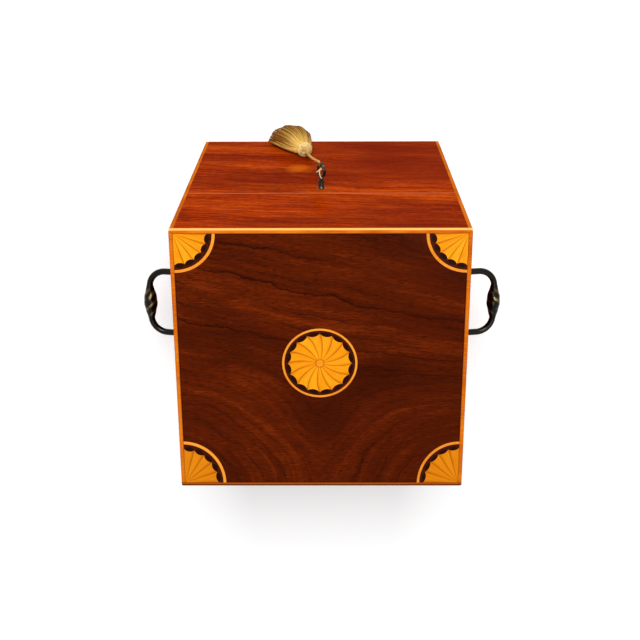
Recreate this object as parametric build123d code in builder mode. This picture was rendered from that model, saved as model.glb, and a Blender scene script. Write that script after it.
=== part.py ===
from build123d import *

import math
import os

# A Georgian style mahogany decanter box that stands upright on its base.
# Millimetres. X is the width, the keyhole faces -Y, the hinges are at +Y, +Z is up.
# The origin is the middle of the underside.

# Overall sizes
WIDTH = 236.0
DEPTH = 227.4
HEIGHT = 289.2
LID_HEIGHT = 100.4
WALL = 10.0

# Carcass, veneer and lining
BAIZE = 1.0
BOTTOM_THICKNESS = 9.0
BOTTOM_LEDGE = 4.0
TOP_THICKNESS = 8.0
TOP_LEDGE = 4.0
VENEER = 1.2
STRING = 3.4
STRING_ROUNDING = 1.2
SEAM_CHAMFER = 0.4
GLUE_LINE = 0.1
LINING_BELOW_RIM = 8.0

# Divider
DIVIDER_THICKNESS = 6.0
DIVIDER_HEIGHT = 112.0
DIVIDER_ROUNDING = 2.0
SLIP = 0.3

# Lock
LOCK_BACKSET = 16.0
LOCK_HALF_WIDTH = 27.0
LOCK_HEIGHT = 30.0
LOCK_PLATE = 1.6
CAP_HALF_WIDTH = 22.0
CAP_HEIGHT = 26.0
CAP_DEPTH = 6.0
CAP_WALL = 0.8
STAPLE_SPACING = 18.0
STAPLE_THICKNESS = 2.5
STAPLE_WIDTH = 4.4
STAPLE_DROP = 8.2
STAPLE_EYE_TOP = 3.4
STAPLE_EYE_HEIGHT = 3.0
STAPLE_EYE_WIDTH = 2.6
BOLT_THICKNESS = 1.8
BOLT_GAP = 0.3
BOLT_BAR_TOP = 8.7
BOLT_BAR_HEIGHT = 3.6
BOLT_FINGER_HEIGHT = 2.2
BOLT_FINGER_LENGTH = 5.5
BOLT_TAB = 2.2
BOLT_REST_GAP = 0.6
BOLT_TRAVEL = 5.5
BOLT_BACK_TRAVEL = 0.5
SPRING_THICKNESS = 0.5
SPRING_WIDTH = 2.0
LOCK_SCREW_INSET = 2.4
LOCK_SCREW_LENGTH = 6.5
LOCK_SCREW_HEIGHTS = (-7.0, -26.0)
LINK_PLATE_LENGTH = 36.0
LINK_PLATE_WIDTH = 7.2
LINK_SCREW_SPACING = 28.6
STAPLE_CLEARANCE = 0.4

# Key
KEY_TURN = 30.0
BARREL_RADIUS = 2.2
PIN_RADIUS = 0.9
PIN_FIT = 0.06
BIT_REACH = 5.6
BIT_THICKNESS = 1.8
BELL_RADIUS = 3.2
BELL_LENGTH = 5.8
NECK_LENGTH = 4.0
COLLAR_RADIUS = 2.6
BOW_LENGTH = 12.0
BOW_WIDTH = 13.0
BOW_RIM = 2.2
BOW_THICKNESS = 2.2
KEY_CLEARANCE = 0.35
KEY_OFF_FACE = 0.3
KEY_EDGE = 0.6
ESCUTCHEON_WALL = 1.0
ESCUTCHEON_DEPTH = 2.0

# Hinges
HINGE_SPACING = 150.0
HINGE_LENGTH = 36.0
LEAF_WIDTH = 8.5
LEAF_THICKNESS = 1.8
LEAF_GAP = 0.3
KNUCKLE_RADIUS = 2.6
HINGE_PIN_RADIUS = 1.1
HINGE_FIT = 0.05
KNUCKLE_GAP = 0.3
HINGE_SETBACK = 2.9
SCREW_HEAD_RADIUS = 2.0
SCREW_SHANK_RADIUS = 1.1
SCREW_LENGTH = 9.0
SCREW_SLOT = 0.6
HINGE_SCREW_PITCH = 12.0

# Carrying handles
BAIL_BELOW_SEAM = 31.2
BAIL_SPAN = 60.0
BAIL_REACH = 46.3
BAIL_ROD_RADIUS = 2.9
BAIL_GRIP_RADIUS = 6.4
BAIL_GRIP_LENGTH = 32.0
BAIL_CORNER = 15.0
BAIL_DROOP = 9.0
BAIL_PIVOT_OUT = 8.2
BAIL_PIN_RADIUS = 1.6
BAIL_HUB_RADIUS = 3.4
BAIL_FIT = 0.08
POST_BALL_RADIUS = 3.8
POST_NECK_RADIUS = 2.0
POST_GAP = 0.5
ROSETTE_RADIUS = 9.5
ROSETTE_THICKNESS = 1.8
POST_SHANK_RADIUS = 1.6
NUT_RADIUS = 3.6
NUT_THICKNESS = 2.4

# Lid ornament
PATERA_ACROSS = 1.0
PATERA_RING_RADIUS = 30.4
PATERA_RING_WIDTH = 1.7
PATERA_TIP_RADIUS = 26.0
PATERA_VALLEY_RADIUS = 23.6
PATERA_BOSS_RADIUS = 2.9
PATERA_PETALS = 16
PATERA_SWIRL = 15.0
FRONT_FAN = (32.6, 32.3)
BACK_FAN = (34.4, 38.9)
FAN_RING_WIDTH = 2.3
FAN_TIP = 6.0
FAN_VALLEY = 8.0
FAN_PETALS = 5

# Key cord and tassel
CORD_RADIUS = 1.2
CORD_TOP_PLACE = (1.8, 22.4, 3.4)
CORD_KNOT_RADIUS = 1.6
CORD_TAIL_RADIUS = 0.7
CORD_WRAP_RADIUS = 2.0
TASSEL_HEAD_RADIUS = 7.4
CORD_BENDS = ((5.4, 18.0, 27.0), (8.8, 13.9, 51.0), (12.0, 10.2, 75.0))
TASSEL_HEAD_PLACE = (16.6, 106)
TASSEL_TILT = 15.0
SKIRT_NECK = (4.5, 5.6)
SKIRT_SWELLS = (
    (10.0, 9.8, 1.4, 5.8, 16.2),
    (20.0, 13.2, 0.9, 4.3, 19.5),
    (36.0, 17.0, 0.6, 3.6, 21.0),
    (61.0, 21.6, 0.5, 3.2, 19.0),
)
FACE_GAP = 0.4

# Places that follow from the sizes
SEAM = HEIGHT - LID_HEIGHT
BAIL_HEIGHT = SEAM - BAIL_BELOW_SEAM
HALF_WIDTH = WIDTH / 2
HALF_DEPTH = DEPTH / 2
FACE_Y = -HALF_DEPTH
INNER_FACE_Y = FACE_Y + WALL
KEY_Z = SEAM - LOCK_BACKSET
VENEER_BOTTOM = HEIGHT - VENEER
FLOOR_Z = BAIZE + BOTTOM_THICKNESS
CEILING_Z = VENEER_BOTTOM - TOP_THICKNESS
INNER_WIDTH = WIDTH - 2 * WALL
INNER_DEPTH = DEPTH - 2 * WALL
SIDES = {
    "front": ((0, -HALF_DEPTH), (1, 0, 0), WIDTH),
    "right": ((HALF_WIDTH, 0), (0, 1, 0), DEPTH),
    "back": ((0, HALF_DEPTH), (-1, 0, 0), WIDTH),
    "left": ((-HALF_WIDTH, 0), (0, -1, 0), DEPTH),
}
ESCUTCHEON_RADIUS = BARREL_RADIUS + KEY_CLEARANCE + ESCUTCHEON_WALL
SLOT_HALF = BIT_THICKNESS / 2 + KEY_CLEARANCE
SCREW_HEAD = SCREW_HEAD_RADIUS - SCREW_SHANK_RADIUS
PLATE_FACE_Y = INNER_FACE_Y - LOCK_PLATE
MECHANISM_Y = PLATE_FACE_Y - (CAP_DEPTH - CAP_WALL) / 2
POST_Y = BAIL_SPAN / 2 - BAIL_ROD_RADIUS - POST_GAP - POST_BALL_RADIUS
HINGE_AXIS_Y = HALF_DEPTH + HINGE_SETBACK
FROM_BASE = (Align.CENTER, Align.CENTER, Align.MIN)
CORNERS = [(sx, sy) for sx in (-1, 1) for sy in (-1, 1)]

os.makedirs("parts", exist_ok=True)


def save(part, name):
    part.label = name
    export_step(part, f"parts/{name}.step")


def side_plane(side, height):
    """Plane on one outer face: x along the wall, y into the box, z up."""
    (x, y), along, _ = SIDES[side]
    return Plane(origin=(x, y, height), x_dir=along, z_dir=(0, 0, 1))


def mitred_outline(length, thickness):
    """A board seen from above, with both ends cut at 45 degrees."""
    Polygon(
        (-length / 2, 0),
        (length / 2, 0),
        (length / 2 - thickness, thickness),
        (-length / 2 + thickness, thickness),
        align=None,
    )


def mitred_wall(side, low, high, seam_height):
    """One carcass board with its corner rebates for the boxwood strings."""
    plane = side_plane(side, low)
    length = SIDES[side][2]
    with BuildPart() as wall:
        with BuildSketch(plane):
            mitred_outline(length, WALL)
        extrude(amount=high - low)
        with BuildSketch(plane):
            with Locations((-length / 2, 0), (length / 2, 0)):
                Rectangle(2 * STRING, 2 * STRING)
        extrude(amount=high - low, mode=Mode.SUBTRACT)
        rim = wall.edges().filter_by(lambda edge: abs(edge.center().Z - seam_height) < GLUE_LINE)
        outer = rim.sort_by(lambda edge: (edge.center() - plane.origin).dot(plane.y_dir))[0]
        chamfer(outer, SEAM_CHAMFER)
    return wall.part


def case_wall(side):
    """A wall of the case, rebated inside at the foot for the bottom board."""
    with BuildPart() as wall:
        add(mitred_wall(side, BAIZE, SEAM, SEAM))
        with BuildSketch(side_plane(side, BAIZE)):
            with Locations((0, WALL)):
                Rectangle(SIDES[side][2], 2 * BOTTOM_LEDGE)
        extrude(amount=BOTTOM_THICKNESS, mode=Mode.SUBTRACT)
    return wall.part


def lid_wall(side):
    """A wall of the lid, rebated at the top for the top board and the edge string."""
    length = SIDES[side][2]
    with BuildPart() as wall:
        add(mitred_wall(side, SEAM, VENEER_BOTTOM, SEAM))
        with BuildSketch(side_plane(side, CEILING_Z)):
            with Locations((0, WALL)):
                Rectangle(length, 2 * TOP_LEDGE)
        extrude(amount=TOP_THICKNESS, mode=Mode.SUBTRACT)
        with BuildSketch(side_plane(side, HEIGHT - STRING)):
            Rectangle(length, 2 * STRING)
        extrude(amount=STRING, mode=Mode.SUBTRACT)
    return wall.part


def corner_strings(low, high):
    """Four square strings let into the upright corners, rounded outside."""
    with BuildPart() as strings:
        for sx, sy in CORNERS:
            corner = (sx * (HALF_WIDTH - STRING / 2), sy * (HALF_DEPTH - STRING / 2))
            with BuildSketch(Plane.XY.offset(low)):
                with Locations(corner):
                    Rectangle(STRING, STRING)
            extrude(amount=high - low)
        uprights = strings.edges().filter_by(Axis.Z)
        outer = uprights.filter_by(
            lambda edge: abs(edge.center().X) > HALF_WIDTH - GLUE_LINE
            and abs(edge.center().Y) > HALF_DEPTH - GLUE_LINE
        )
        fillet(outer, STRING_ROUNDING)
    return strings.part


def screw_places(plane, places):
    """Where screws stand on a plane, with their points along its z."""
    return [plane.location * Pos(x, y) for x, y in places]


def countersunk_screws(places, length):
    """Slotted countersunk screws whose heads lie flush with their plane."""
    with BuildPart() as screws:
        with Locations(places):
            Cone(SCREW_HEAD_RADIUS, SCREW_SHANK_RADIUS, SCREW_HEAD, align=FROM_BASE)
            Cylinder(SCREW_SHANK_RADIUS, length, align=FROM_BASE)
            Box(2 * SCREW_HEAD_RADIUS, SCREW_SLOT, SCREW_SLOT, align=FROM_BASE, mode=Mode.SUBTRACT)
    return screws.part


def cut_screw_seats(places, length):
    """Countersinks and pilot holes for the screws above, with a glue line of clearance."""
    with Locations(places):
        Cone(
            SCREW_HEAD_RADIUS + GLUE_LINE,
            SCREW_SHANK_RADIUS + GLUE_LINE,
            SCREW_HEAD,
            align=FROM_BASE,
            mode=Mode.SUBTRACT,
        )
        Cylinder(SCREW_SHANK_RADIUS + GLUE_LINE, length + GLUE_LINE, align=FROM_BASE, mode=Mode.SUBTRACT)


# Key and keyhole share one axis square to the front. On every lock plane x is +X and y is up.
KEY_PLANE = Plane(origin=(0, FACE_Y, KEY_Z), x_dir=(1, 0, 0), z_dir=(0, -1, 0))
LOCK_PLANE = Plane(origin=(0, INNER_FACE_Y, SEAM), x_dir=(1, 0, 0), z_dir=(0, -1, 0))
LOCK_SCREWS = screw_places(
    LOCK_PLANE,
    [(side * (LOCK_HALF_WIDTH - LOCK_SCREW_INSET), y) for side in (-1, 1) for y in LOCK_SCREW_HEIGHTS],
)


def keyhole_outline(radius, half_slot, reach):
    """A round hole with a slot hanging from it, for the barrel and the bit."""
    Circle(radius)
    with Locations((0, -reach / 2)):
        Rectangle(2 * half_slot, reach)


def below_seam(half_width, height, depth):
    """A mortise from the inner face of the front board, open at the rim."""
    with BuildPart() as mortise:
        with BuildSketch(LOCK_PLANE):
            with Locations((0, -height / 2)):
                Rectangle(2 * (half_width + GLUE_LINE), height + 2 * GLUE_LINE)
        extrude(amount=depth)
    return mortise.part


# Case boards: mahogany, mitred at the corners
MORTISE_DEPTH = LOCK_PLATE + CAP_DEPTH + GLUE_LINE
with BuildPart() as case_front:
    add(case_wall("front"))
    with BuildSketch(KEY_PLANE):
        keyhole_outline(
            ESCUTCHEON_RADIUS + GLUE_LINE,
            SLOT_HALF + ESCUTCHEON_WALL + GLUE_LINE,
            BIT_REACH + KEY_CLEARANCE + ESCUTCHEON_WALL + GLUE_LINE,
        )
    extrude(amount=-WALL, mode=Mode.SUBTRACT)
    add(below_seam(LOCK_HALF_WIDTH, LOCK_HEIGHT, LOCK_PLATE), mode=Mode.SUBTRACT)
    add(below_seam(CAP_HALF_WIDTH, CAP_HEIGHT + LOCK_PLATE, MORTISE_DEPTH), mode=Mode.SUBTRACT)
    add(below_seam(LOCK_HALF_WIDTH, LOCK_PLATE, MORTISE_DEPTH), mode=Mode.SUBTRACT)
    cut_screw_seats(LOCK_SCREWS, LOCK_SCREW_LENGTH)
save(case_front.part, "case_front")

# Hinge leaves are let into the back boards, one pair near each end
HINGE_CENTRES = (-HINGE_SPACING / 2, HINGE_SPACING / 2)
LEAF_LOW = SEAM - LEAF_GAP / 2
LEAF_HIGH = SEAM + LEAF_GAP / 2
LEAF_SCREW_SPOTS = [
    (x + step * HINGE_SCREW_PITCH, HALF_DEPTH - LEAF_WIDTH / 2) for x in HINGE_CENTRES for step in (-1, 0, 1)
]
UNDER_SEAM = Plane(origin=(0, 0, LEAF_LOW), x_dir=(1, 0, 0), z_dir=(0, 0, -1))
OVER_SEAM = Plane(origin=(0, 0, LEAF_HIGH), x_dir=(1, 0, 0), z_dir=(0, 0, 1))
CASE_HINGE_SCREWS = screw_places(UNDER_SEAM, [(x, -y) for x, y in LEAF_SCREW_SPOTS])
LID_HINGE_SCREWS = screw_places(OVER_SEAM, LEAF_SCREW_SPOTS)


def leaf_recesses(direction):
    """Shallow housings for both hinge leaves, below the seam (-1) or above it (1)."""
    with BuildPart() as recesses:
        with BuildSketch(Plane.XY.offset(SEAM)):
            with Locations([(x, HALF_DEPTH - LEAF_WIDTH / 2) for x in HINGE_CENTRES]):
                Rectangle(HINGE_LENGTH + 2 * GLUE_LINE, LEAF_WIDTH + 2 * GLUE_LINE)
        extrude(amount=direction * (LEAF_THICKNESS + LEAF_GAP / 2))
    return recesses.part


with BuildPart() as case_back:
    add(case_wall("back"))
    add(leaf_recesses(-1), mode=Mode.SUBTRACT)
    cut_screw_seats(CASE_HINGE_SCREWS, SCREW_LENGTH)
save(case_back.part, "case_back")

# The end boards are bored for the handle posts, with a recess inside for each nut
for side, name in ((1, "case_right"), (-1, "case_left")):
    wall_plane = Plane(origin=(side * HALF_WIDTH, 0, BAIL_HEIGHT), x_dir=(0, 1, 0), z_dir=(-side, 0, 0))
    nut_plane = wall_plane.offset(WALL - NUT_THICKNESS)
    with BuildPart() as case_end:
        add(case_wall("right" if side > 0 else "left"))
        with BuildSketch(wall_plane):
            with Locations((POST_Y, 0), (-POST_Y, 0)):
                Circle(POST_SHANK_RADIUS + GLUE_LINE)
        extrude(amount=WALL, mode=Mode.SUBTRACT)
        with BuildSketch(nut_plane):
            with Locations((POST_Y, 0), (-POST_Y, 0)):
                Circle(NUT_RADIUS + GLUE_LINE)
        extrude(amount=NUT_THICKNESS, mode=Mode.SUBTRACT)
    save(case_end.part, name)

with BuildPart() as case_bottom:
    with BuildSketch(Plane.XY.offset(BAIZE)):
        Rectangle(INNER_WIDTH + 2 * BOTTOM_LEDGE, INNER_DEPTH + 2 * BOTTOM_LEDGE)
    extrude(amount=BOTTOM_THICKNESS)
save(case_bottom.part, "case_bottom")

save(corner_strings(BAIZE, SEAM), "case_corner_strings")

# Baize under the base and inside the case
with BuildPart() as base_baize:
    with BuildSketch(Plane.XY):
        RectangleRounded(WIDTH - 2 * STRING, DEPTH - 2 * STRING, STRING)
    extrude(amount=BAIZE)
save(base_baize.part, "base_baize")

LINING_TOP = SEAM - LINING_BELOW_RIM
with BuildPart() as case_lining:
    with BuildSketch(Plane.XY.offset(FLOOR_Z)):
        Rectangle(INNER_WIDTH - 2 * GLUE_LINE, INNER_DEPTH - 2 * GLUE_LINE)
    extrude(amount=LINING_TOP - FLOOR_Z)
    with BuildSketch(Plane.XY.offset(FLOOR_Z + BAIZE)):
        Rectangle(INNER_WIDTH - 2 * BAIZE, INNER_DEPTH - 2 * BAIZE)
    extrude(amount=LINING_TOP - FLOOR_Z, mode=Mode.SUBTRACT)
    with BuildSketch(LOCK_PLANE):
        with Locations((0, -LOCK_HEIGHT / 2)):
            Rectangle(2 * LOCK_HALF_WIDTH + BAIZE, LOCK_HEIGHT + BAIZE)
    extrude(amount=-2 * BAIZE, mode=Mode.SUBTRACT)
save(case_lining.part, "case_lining")

# Two crossed boards, slotted half way into each other, part the four bottles
DIVIDER_LOW = FLOOR_Z + BAIZE
DIVIDER_PIECES = (
    ("long_divider", INNER_WIDTH - 2 * BAIZE - 2 * SLIP, 0, DIVIDER_HEIGHT / 2),
    ("cross_divider", INNER_DEPTH - 2 * BAIZE - 2 * SLIP, 90, 0),
)
for name, length, turn, slot_low in DIVIDER_PIECES:
    upright = Plane(Location((0, 0, DIVIDER_LOW), (0, 0, turn))) * Location((0, 0, 0), (90, 0, 0))
    with BuildPart() as divider:
        with BuildSketch(Plane(upright)):
            with Locations((0, DIVIDER_HEIGHT / 2)):
                Rectangle(length, DIVIDER_HEIGHT)
            with Locations((0, slot_low + DIVIDER_HEIGHT / 4)):
                Rectangle(DIVIDER_THICKNESS + SLIP, DIVIDER_HEIGHT / 2 + SLIP / 2, mode=Mode.SUBTRACT)
        extrude(amount=DIVIDER_THICKNESS / 2, both=True)
        top_edges = divider.edges().filter_by(
            lambda edge: abs(edge.center().Z - DIVIDER_LOW - DIVIDER_HEIGHT) < GLUE_LINE
            and edge.length > DIVIDER_HEIGHT / 2
        )
        fillet(top_edges, DIVIDER_ROUNDING)
    save(divider.part, name)

# Box lock let into the front board: plate with its selvedge, cap, drill pin, bolt and spring
with BuildPart() as lock_plate:
    with BuildSketch(LOCK_PLANE):
        with Locations((0, -LOCK_HEIGHT / 2)):
            Rectangle(2 * LOCK_HALF_WIDTH, LOCK_HEIGHT)
    extrude(amount=LOCK_PLATE)
    with BuildSketch(LOCK_PLANE):
        with Locations((0, -LOCK_PLATE / 2)):
            Rectangle(2 * LOCK_HALF_WIDTH, LOCK_PLATE)
    extrude(amount=LOCK_PLATE + CAP_DEPTH)
    with BuildSketch(Plane.XY.offset(SEAM)):
        with Locations([(side * STAPLE_SPACING / 2, MECHANISM_Y) for side in (-1, 1)]):
            Rectangle(STAPLE_THICKNESS + 2 * STAPLE_CLEARANCE, STAPLE_WIDTH + 2 * STAPLE_CLEARANCE)
    extrude(amount=-LOCK_PLATE, mode=Mode.SUBTRACT)
    cut_screw_seats(LOCK_SCREWS, LOCK_SCREW_LENGTH)
    with BuildSketch(LOCK_PLANE):
        with Locations((0, -LOCK_BACKSET)):
            Circle(PIN_RADIUS + GLUE_LINE / 2)
    extrude(amount=LOCK_PLATE, mode=Mode.SUBTRACT)
save(lock_plate.part, "lock_plate")

save(countersunk_screws(LOCK_SCREWS, LOCK_SCREW_LENGTH), "lock_screws")

CAP_PLANE = Plane(origin=(0, PLATE_FACE_Y, SEAM - LOCK_PLATE), x_dir=(1, 0, 0), z_dir=(0, -1, 0))
with BuildPart() as lock_cap:
    with BuildSketch(CAP_PLANE):
        with Locations((0, -CAP_HEIGHT / 2)):
            Rectangle(2 * CAP_HALF_WIDTH, CAP_HEIGHT)
    extrude(amount=CAP_DEPTH)
    with BuildSketch(CAP_PLANE):
        with Locations((0, -(CAP_HEIGHT - CAP_WALL) / 2)):
            Rectangle(2 * (CAP_HALF_WIDTH - CAP_WALL), CAP_HEIGHT - CAP_WALL)
    extrude(amount=CAP_DEPTH - CAP_WALL, mode=Mode.SUBTRACT)
    with BuildSketch(KEY_PLANE):
        keyhole_outline(BARREL_RADIUS + KEY_CLEARANCE, SLOT_HALF, BIT_REACH + KEY_CLEARANCE)
    extrude(amount=-WALL, mode=Mode.SUBTRACT)
save(lock_cap.part, "lock_cap")

PIN_LENGTH = WALL - ESCUTCHEON_DEPTH
with BuildPart() as lock_pin:
    with BuildSketch(LOCK_PLANE):
        with Locations((0, -LOCK_BACKSET)):
            Circle(PIN_RADIUS)
    extrude(amount=PIN_LENGTH)
save(lock_pin.part, "lock_pin")

# The bolt slides towards -X to lock. On its plane x is that way and y is up from the seam.
BOLT_PLANE = Plane(origin=(0, MECHANISM_Y, SEAM), x_dir=(-1, 0, 0), z_dir=(0, 1, 0))
BAR_LOW = -(BOLT_BAR_TOP + BOLT_BAR_HEIGHT)
FINGER_MIDDLE = -(STAPLE_EYE_TOP + STAPLE_EYE_HEIGHT / 2)
FINGER_TIPS = [side * STAPLE_SPACING / 2 - STAPLE_THICKNESS / 2 - BOLT_REST_GAP for side in (-1, 1)]
FINGER_ROOTS = [tip - BOLT_FINGER_LENGTH for tip in FINGER_TIPS]
TO_PLATE = PLATE_FACE_Y - MECHANISM_Y - BOLT_GAP
BIT_CIRCLE = BIT_REACH + KEY_CLEARANCE
NOTCH_TOP = BIT_CIRCLE - LOCK_BACKSET
BIT_SWEEP = math.sqrt(BIT_CIRCLE**2 - (LOCK_BACKSET + BAR_LOW) ** 2) + BIT_THICKNESS / 2
NOTCH_LOW = -BIT_SWEEP - BOLT_TRAVEL / 2
NOTCH_HIGH = BIT_SWEEP - BOLT_TRAVEL / 4
with BuildPart() as lock_bolt:
    with BuildSketch(BOLT_PLANE):
        bar_start = FINGER_ROOTS[0] - BOLT_TAB
        bar_end = FINGER_TIPS[1] + BOLT_TAB
        with Locations(((bar_start + bar_end) / 2, BAR_LOW + BOLT_BAR_HEIGHT / 2)):
            Rectangle(bar_end - bar_start, BOLT_BAR_HEIGHT)
        with Locations(((NOTCH_LOW + NOTCH_HIGH) / 2, (NOTCH_TOP + BAR_LOW - BOLT_TAB) / 2)):
            Rectangle(NOTCH_HIGH - NOTCH_LOW, NOTCH_TOP - BAR_LOW + BOLT_TAB, mode=Mode.SUBTRACT)
    extrude(amount=TO_PLATE)
    with BuildSketch(BOLT_PLANE):
        with Locations(((bar_start + bar_end) / 2, BAR_LOW + BOLT_BAR_HEIGHT / 2)):
            Rectangle(bar_end - bar_start, BOLT_BAR_HEIGHT)
        with Locations(((NOTCH_LOW + NOTCH_HIGH) / 2, (NOTCH_TOP + BAR_LOW - BOLT_TAB) / 2)):
            Rectangle(NOTCH_HIGH - NOTCH_LOW, NOTCH_TOP - BAR_LOW + BOLT_TAB, mode=Mode.SUBTRACT)
        finger_top = FINGER_MIDDLE + BOLT_FINGER_HEIGHT / 2
        for root, tip in zip(FINGER_ROOTS, FINGER_TIPS):
            with Locations((root - BOLT_TAB / 2, (finger_top - BOLT_BAR_TOP) / 2)):
                Rectangle(BOLT_TAB, finger_top + BOLT_BAR_TOP)
            with Locations(((root + tip) / 2, FINGER_MIDDLE)):
                Rectangle(tip - root, BOLT_FINGER_HEIGHT)
    extrude(amount=BOLT_THICKNESS / 2, both=True)
save(lock_bolt.part, "lock_bolt")

SPRING_FOOT = (-(CAP_HALF_WIDTH - CAP_WALL), BAR_LOW - 4 * BOLT_GAP - 3 * SPRING_THICKNESS)
SPRING_TOE = (-BIT_CIRCLE - STAPLE_THICKNESS, BAR_LOW - BOLT_GAP)
SPRING_CROWN = ((SPRING_FOOT[0] + SPRING_TOE[0]) / 2, BAR_LOW - 2 * BOLT_GAP)
with BuildPart() as lock_spring:
    with BuildSketch(BOLT_PLANE):
        with BuildLine():
            top = ThreePointArc(SPRING_FOOT, SPRING_CROWN, SPRING_TOE)
            low = ThreePointArc(*[(x, y - SPRING_THICKNESS) for x, y in (SPRING_FOOT, SPRING_CROWN, SPRING_TOE)])
            Line(top @ 0, low @ 0)
            Line(top @ 1, low @ 1)
        make_face()
    extrude(amount=SPRING_WIDTH / 2, both=True)
save(lock_spring.part, "lock_spring")

with BuildPart() as keyhole_escutcheon:
    with BuildSketch(KEY_PLANE):
        keyhole_outline(
            ESCUTCHEON_RADIUS, SLOT_HALF + ESCUTCHEON_WALL, BIT_REACH + KEY_CLEARANCE + ESCUTCHEON_WALL
        )
    extrude(amount=-ESCUTCHEON_DEPTH)
    with BuildSketch(KEY_PLANE):
        keyhole_outline(ESCUTCHEON_RADIUS - ESCUTCHEON_WALL, SLOT_HALF, BIT_REACH + KEY_CLEARANCE)
    extrude(amount=-ESCUTCHEON_DEPTH, mode=Mode.SUBTRACT)
save(keyhole_escutcheon.part, "keyhole_escutcheon")

# Steel pipe key, standing in the lock and turned a little from upright
BIT_TURN = math.radians(KEY_TURN)
ACROSS_BOW = (-math.sin(BIT_TURN), 0, math.cos(BIT_TURN))
KEY_INNER_END = PLATE_FACE_Y - BOLT_GAP - FACE_Y
NECK_END = KEY_OFF_FACE + BELL_LENGTH + NECK_LENGTH
BOW_MIDDLE = NECK_END + BOW_LENGTH / 2 - BOW_RIM / 4
KEY_TIP = BOW_MIDDLE + BOW_LENGTH / 2
BOW_PLANE = Plane(
    origin=(0, FACE_Y - BOW_MIDDLE, KEY_Z),
    x_dir=ACROSS_BOW,
    z_dir=Vector(*ACROSS_BOW).cross(Vector(0, -1, 0)),
)
with BuildPart() as key:
    with BuildSketch(BOW_PLANE):
        Ellipse(BOW_WIDTH / 2, BOW_LENGTH / 2)
        Ellipse(BOW_WIDTH / 2 - BOW_RIM, BOW_LENGTH / 2 - BOW_RIM, mode=Mode.SUBTRACT)
    extrude(amount=BOW_THICKNESS / 2, both=True)
    fillet(key.edges().filter_by(GeomType.ELLIPSE), KEY_EDGE)
    with BuildSketch(Plane(origin=(0, FACE_Y, KEY_Z), x_dir=(1, 0, 0), z_dir=(0, 0, -1))):
        with BuildLine():
            bore = PIN_RADIUS + PIN_FIT
            collar = NECK_LENGTH / 4
            neck = BELL_LENGTH + KEY_OFF_FACE
            Polyline(
                (bore, -KEY_INNER_END),
                (BARREL_RADIUS, -KEY_INNER_END),
                (BARREL_RADIUS, KEY_OFF_FACE),
                (BELL_RADIUS, KEY_OFF_FACE),
            )
            ThreePointArc(
                (BELL_RADIUS, KEY_OFF_FACE),
                (BARREL_RADIUS + (BELL_RADIUS - BARREL_RADIUS) / 4, KEY_OFF_FACE + BELL_LENGTH * 0.45),
                (BARREL_RADIUS, neck),
            )
            Polyline(
                (BARREL_RADIUS, neck),
                (COLLAR_RADIUS, neck + collar / 4),
                (COLLAR_RADIUS, neck + collar),
                (BARREL_RADIUS - KEY_OFF_FACE, neck + collar * 1.5),
                (BARREL_RADIUS - KEY_OFF_FACE, neck + collar * 2),
                (COLLAR_RADIUS - KEY_OFF_FACE, neck + collar * 2.3),
                (COLLAR_RADIUS - KEY_OFF_FACE, neck + collar * 3),
                (BOW_RIM / 2, neck + collar * 4),
                (0, neck + collar * 4),
                (0, KEY_OFF_FACE),
                (bore, KEY_OFF_FACE),
                (bore, -KEY_INNER_END),
            )
        make_face()
    revolve(axis=Axis((0, 0, KEY_Z), (0, 1, 0)))
    bit_plane = Plane(
        origin=(0, PLATE_FACE_Y - 2 * BOLT_GAP, KEY_Z), x_dir=[-c for c in ACROSS_BOW], z_dir=(0, -1, 0)
    )
    with BuildSketch(bit_plane):
        with Locations(((BARREL_RADIUS + BIT_REACH) / 2, 0)):
            Rectangle(BIT_REACH - BARREL_RADIUS + KEY_EDGE, BIT_THICKNESS)
    extrude(amount=CAP_DEPTH - CAP_WALL - 4 * BOLT_GAP)
save(key.part, "key")

# Lid walls and top board, rebated like the case
with BuildPart() as link_recess:
    with BuildSketch(Plane.XY.offset(SEAM)):
        with Locations((0, MECHANISM_Y)):
            Rectangle(LINK_PLATE_LENGTH + 2 * GLUE_LINE, LINK_PLATE_WIDTH + 2 * GLUE_LINE)
    extrude(amount=LOCK_PLATE)
LINK_SCREWS = screw_places(
    Plane.XY.offset(SEAM), [(side * LINK_SCREW_SPACING / 2, MECHANISM_Y) for side in (-1, 1)]
)
with BuildPart() as lid_front:
    add(lid_wall("front"))
    add(link_recess.part, mode=Mode.SUBTRACT)
    cut_screw_seats(LINK_SCREWS, SCREW_LENGTH)
save(lid_front.part, "lid_front")

with BuildPart() as lid_back:
    add(lid_wall("back"))
    add(leaf_recesses(1), mode=Mode.SUBTRACT)
    cut_screw_seats(LID_HINGE_SCREWS, SCREW_LENGTH)
save(lid_back.part, "lid_back")

for side in ("left", "right"):
    save(lid_wall(side), f"lid_{side}")

with BuildPart() as lid_top:
    with BuildSketch(Plane.XY.offset(CEILING_Z)):
        Rectangle(INNER_WIDTH + 2 * TOP_LEDGE, INNER_DEPTH + 2 * TOP_LEDGE)
    extrude(amount=TOP_THICKNESS)
save(lid_top.part, "lid_top")

save(corner_strings(SEAM, HEIGHT - STRING), "lid_corner_strings")

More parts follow.
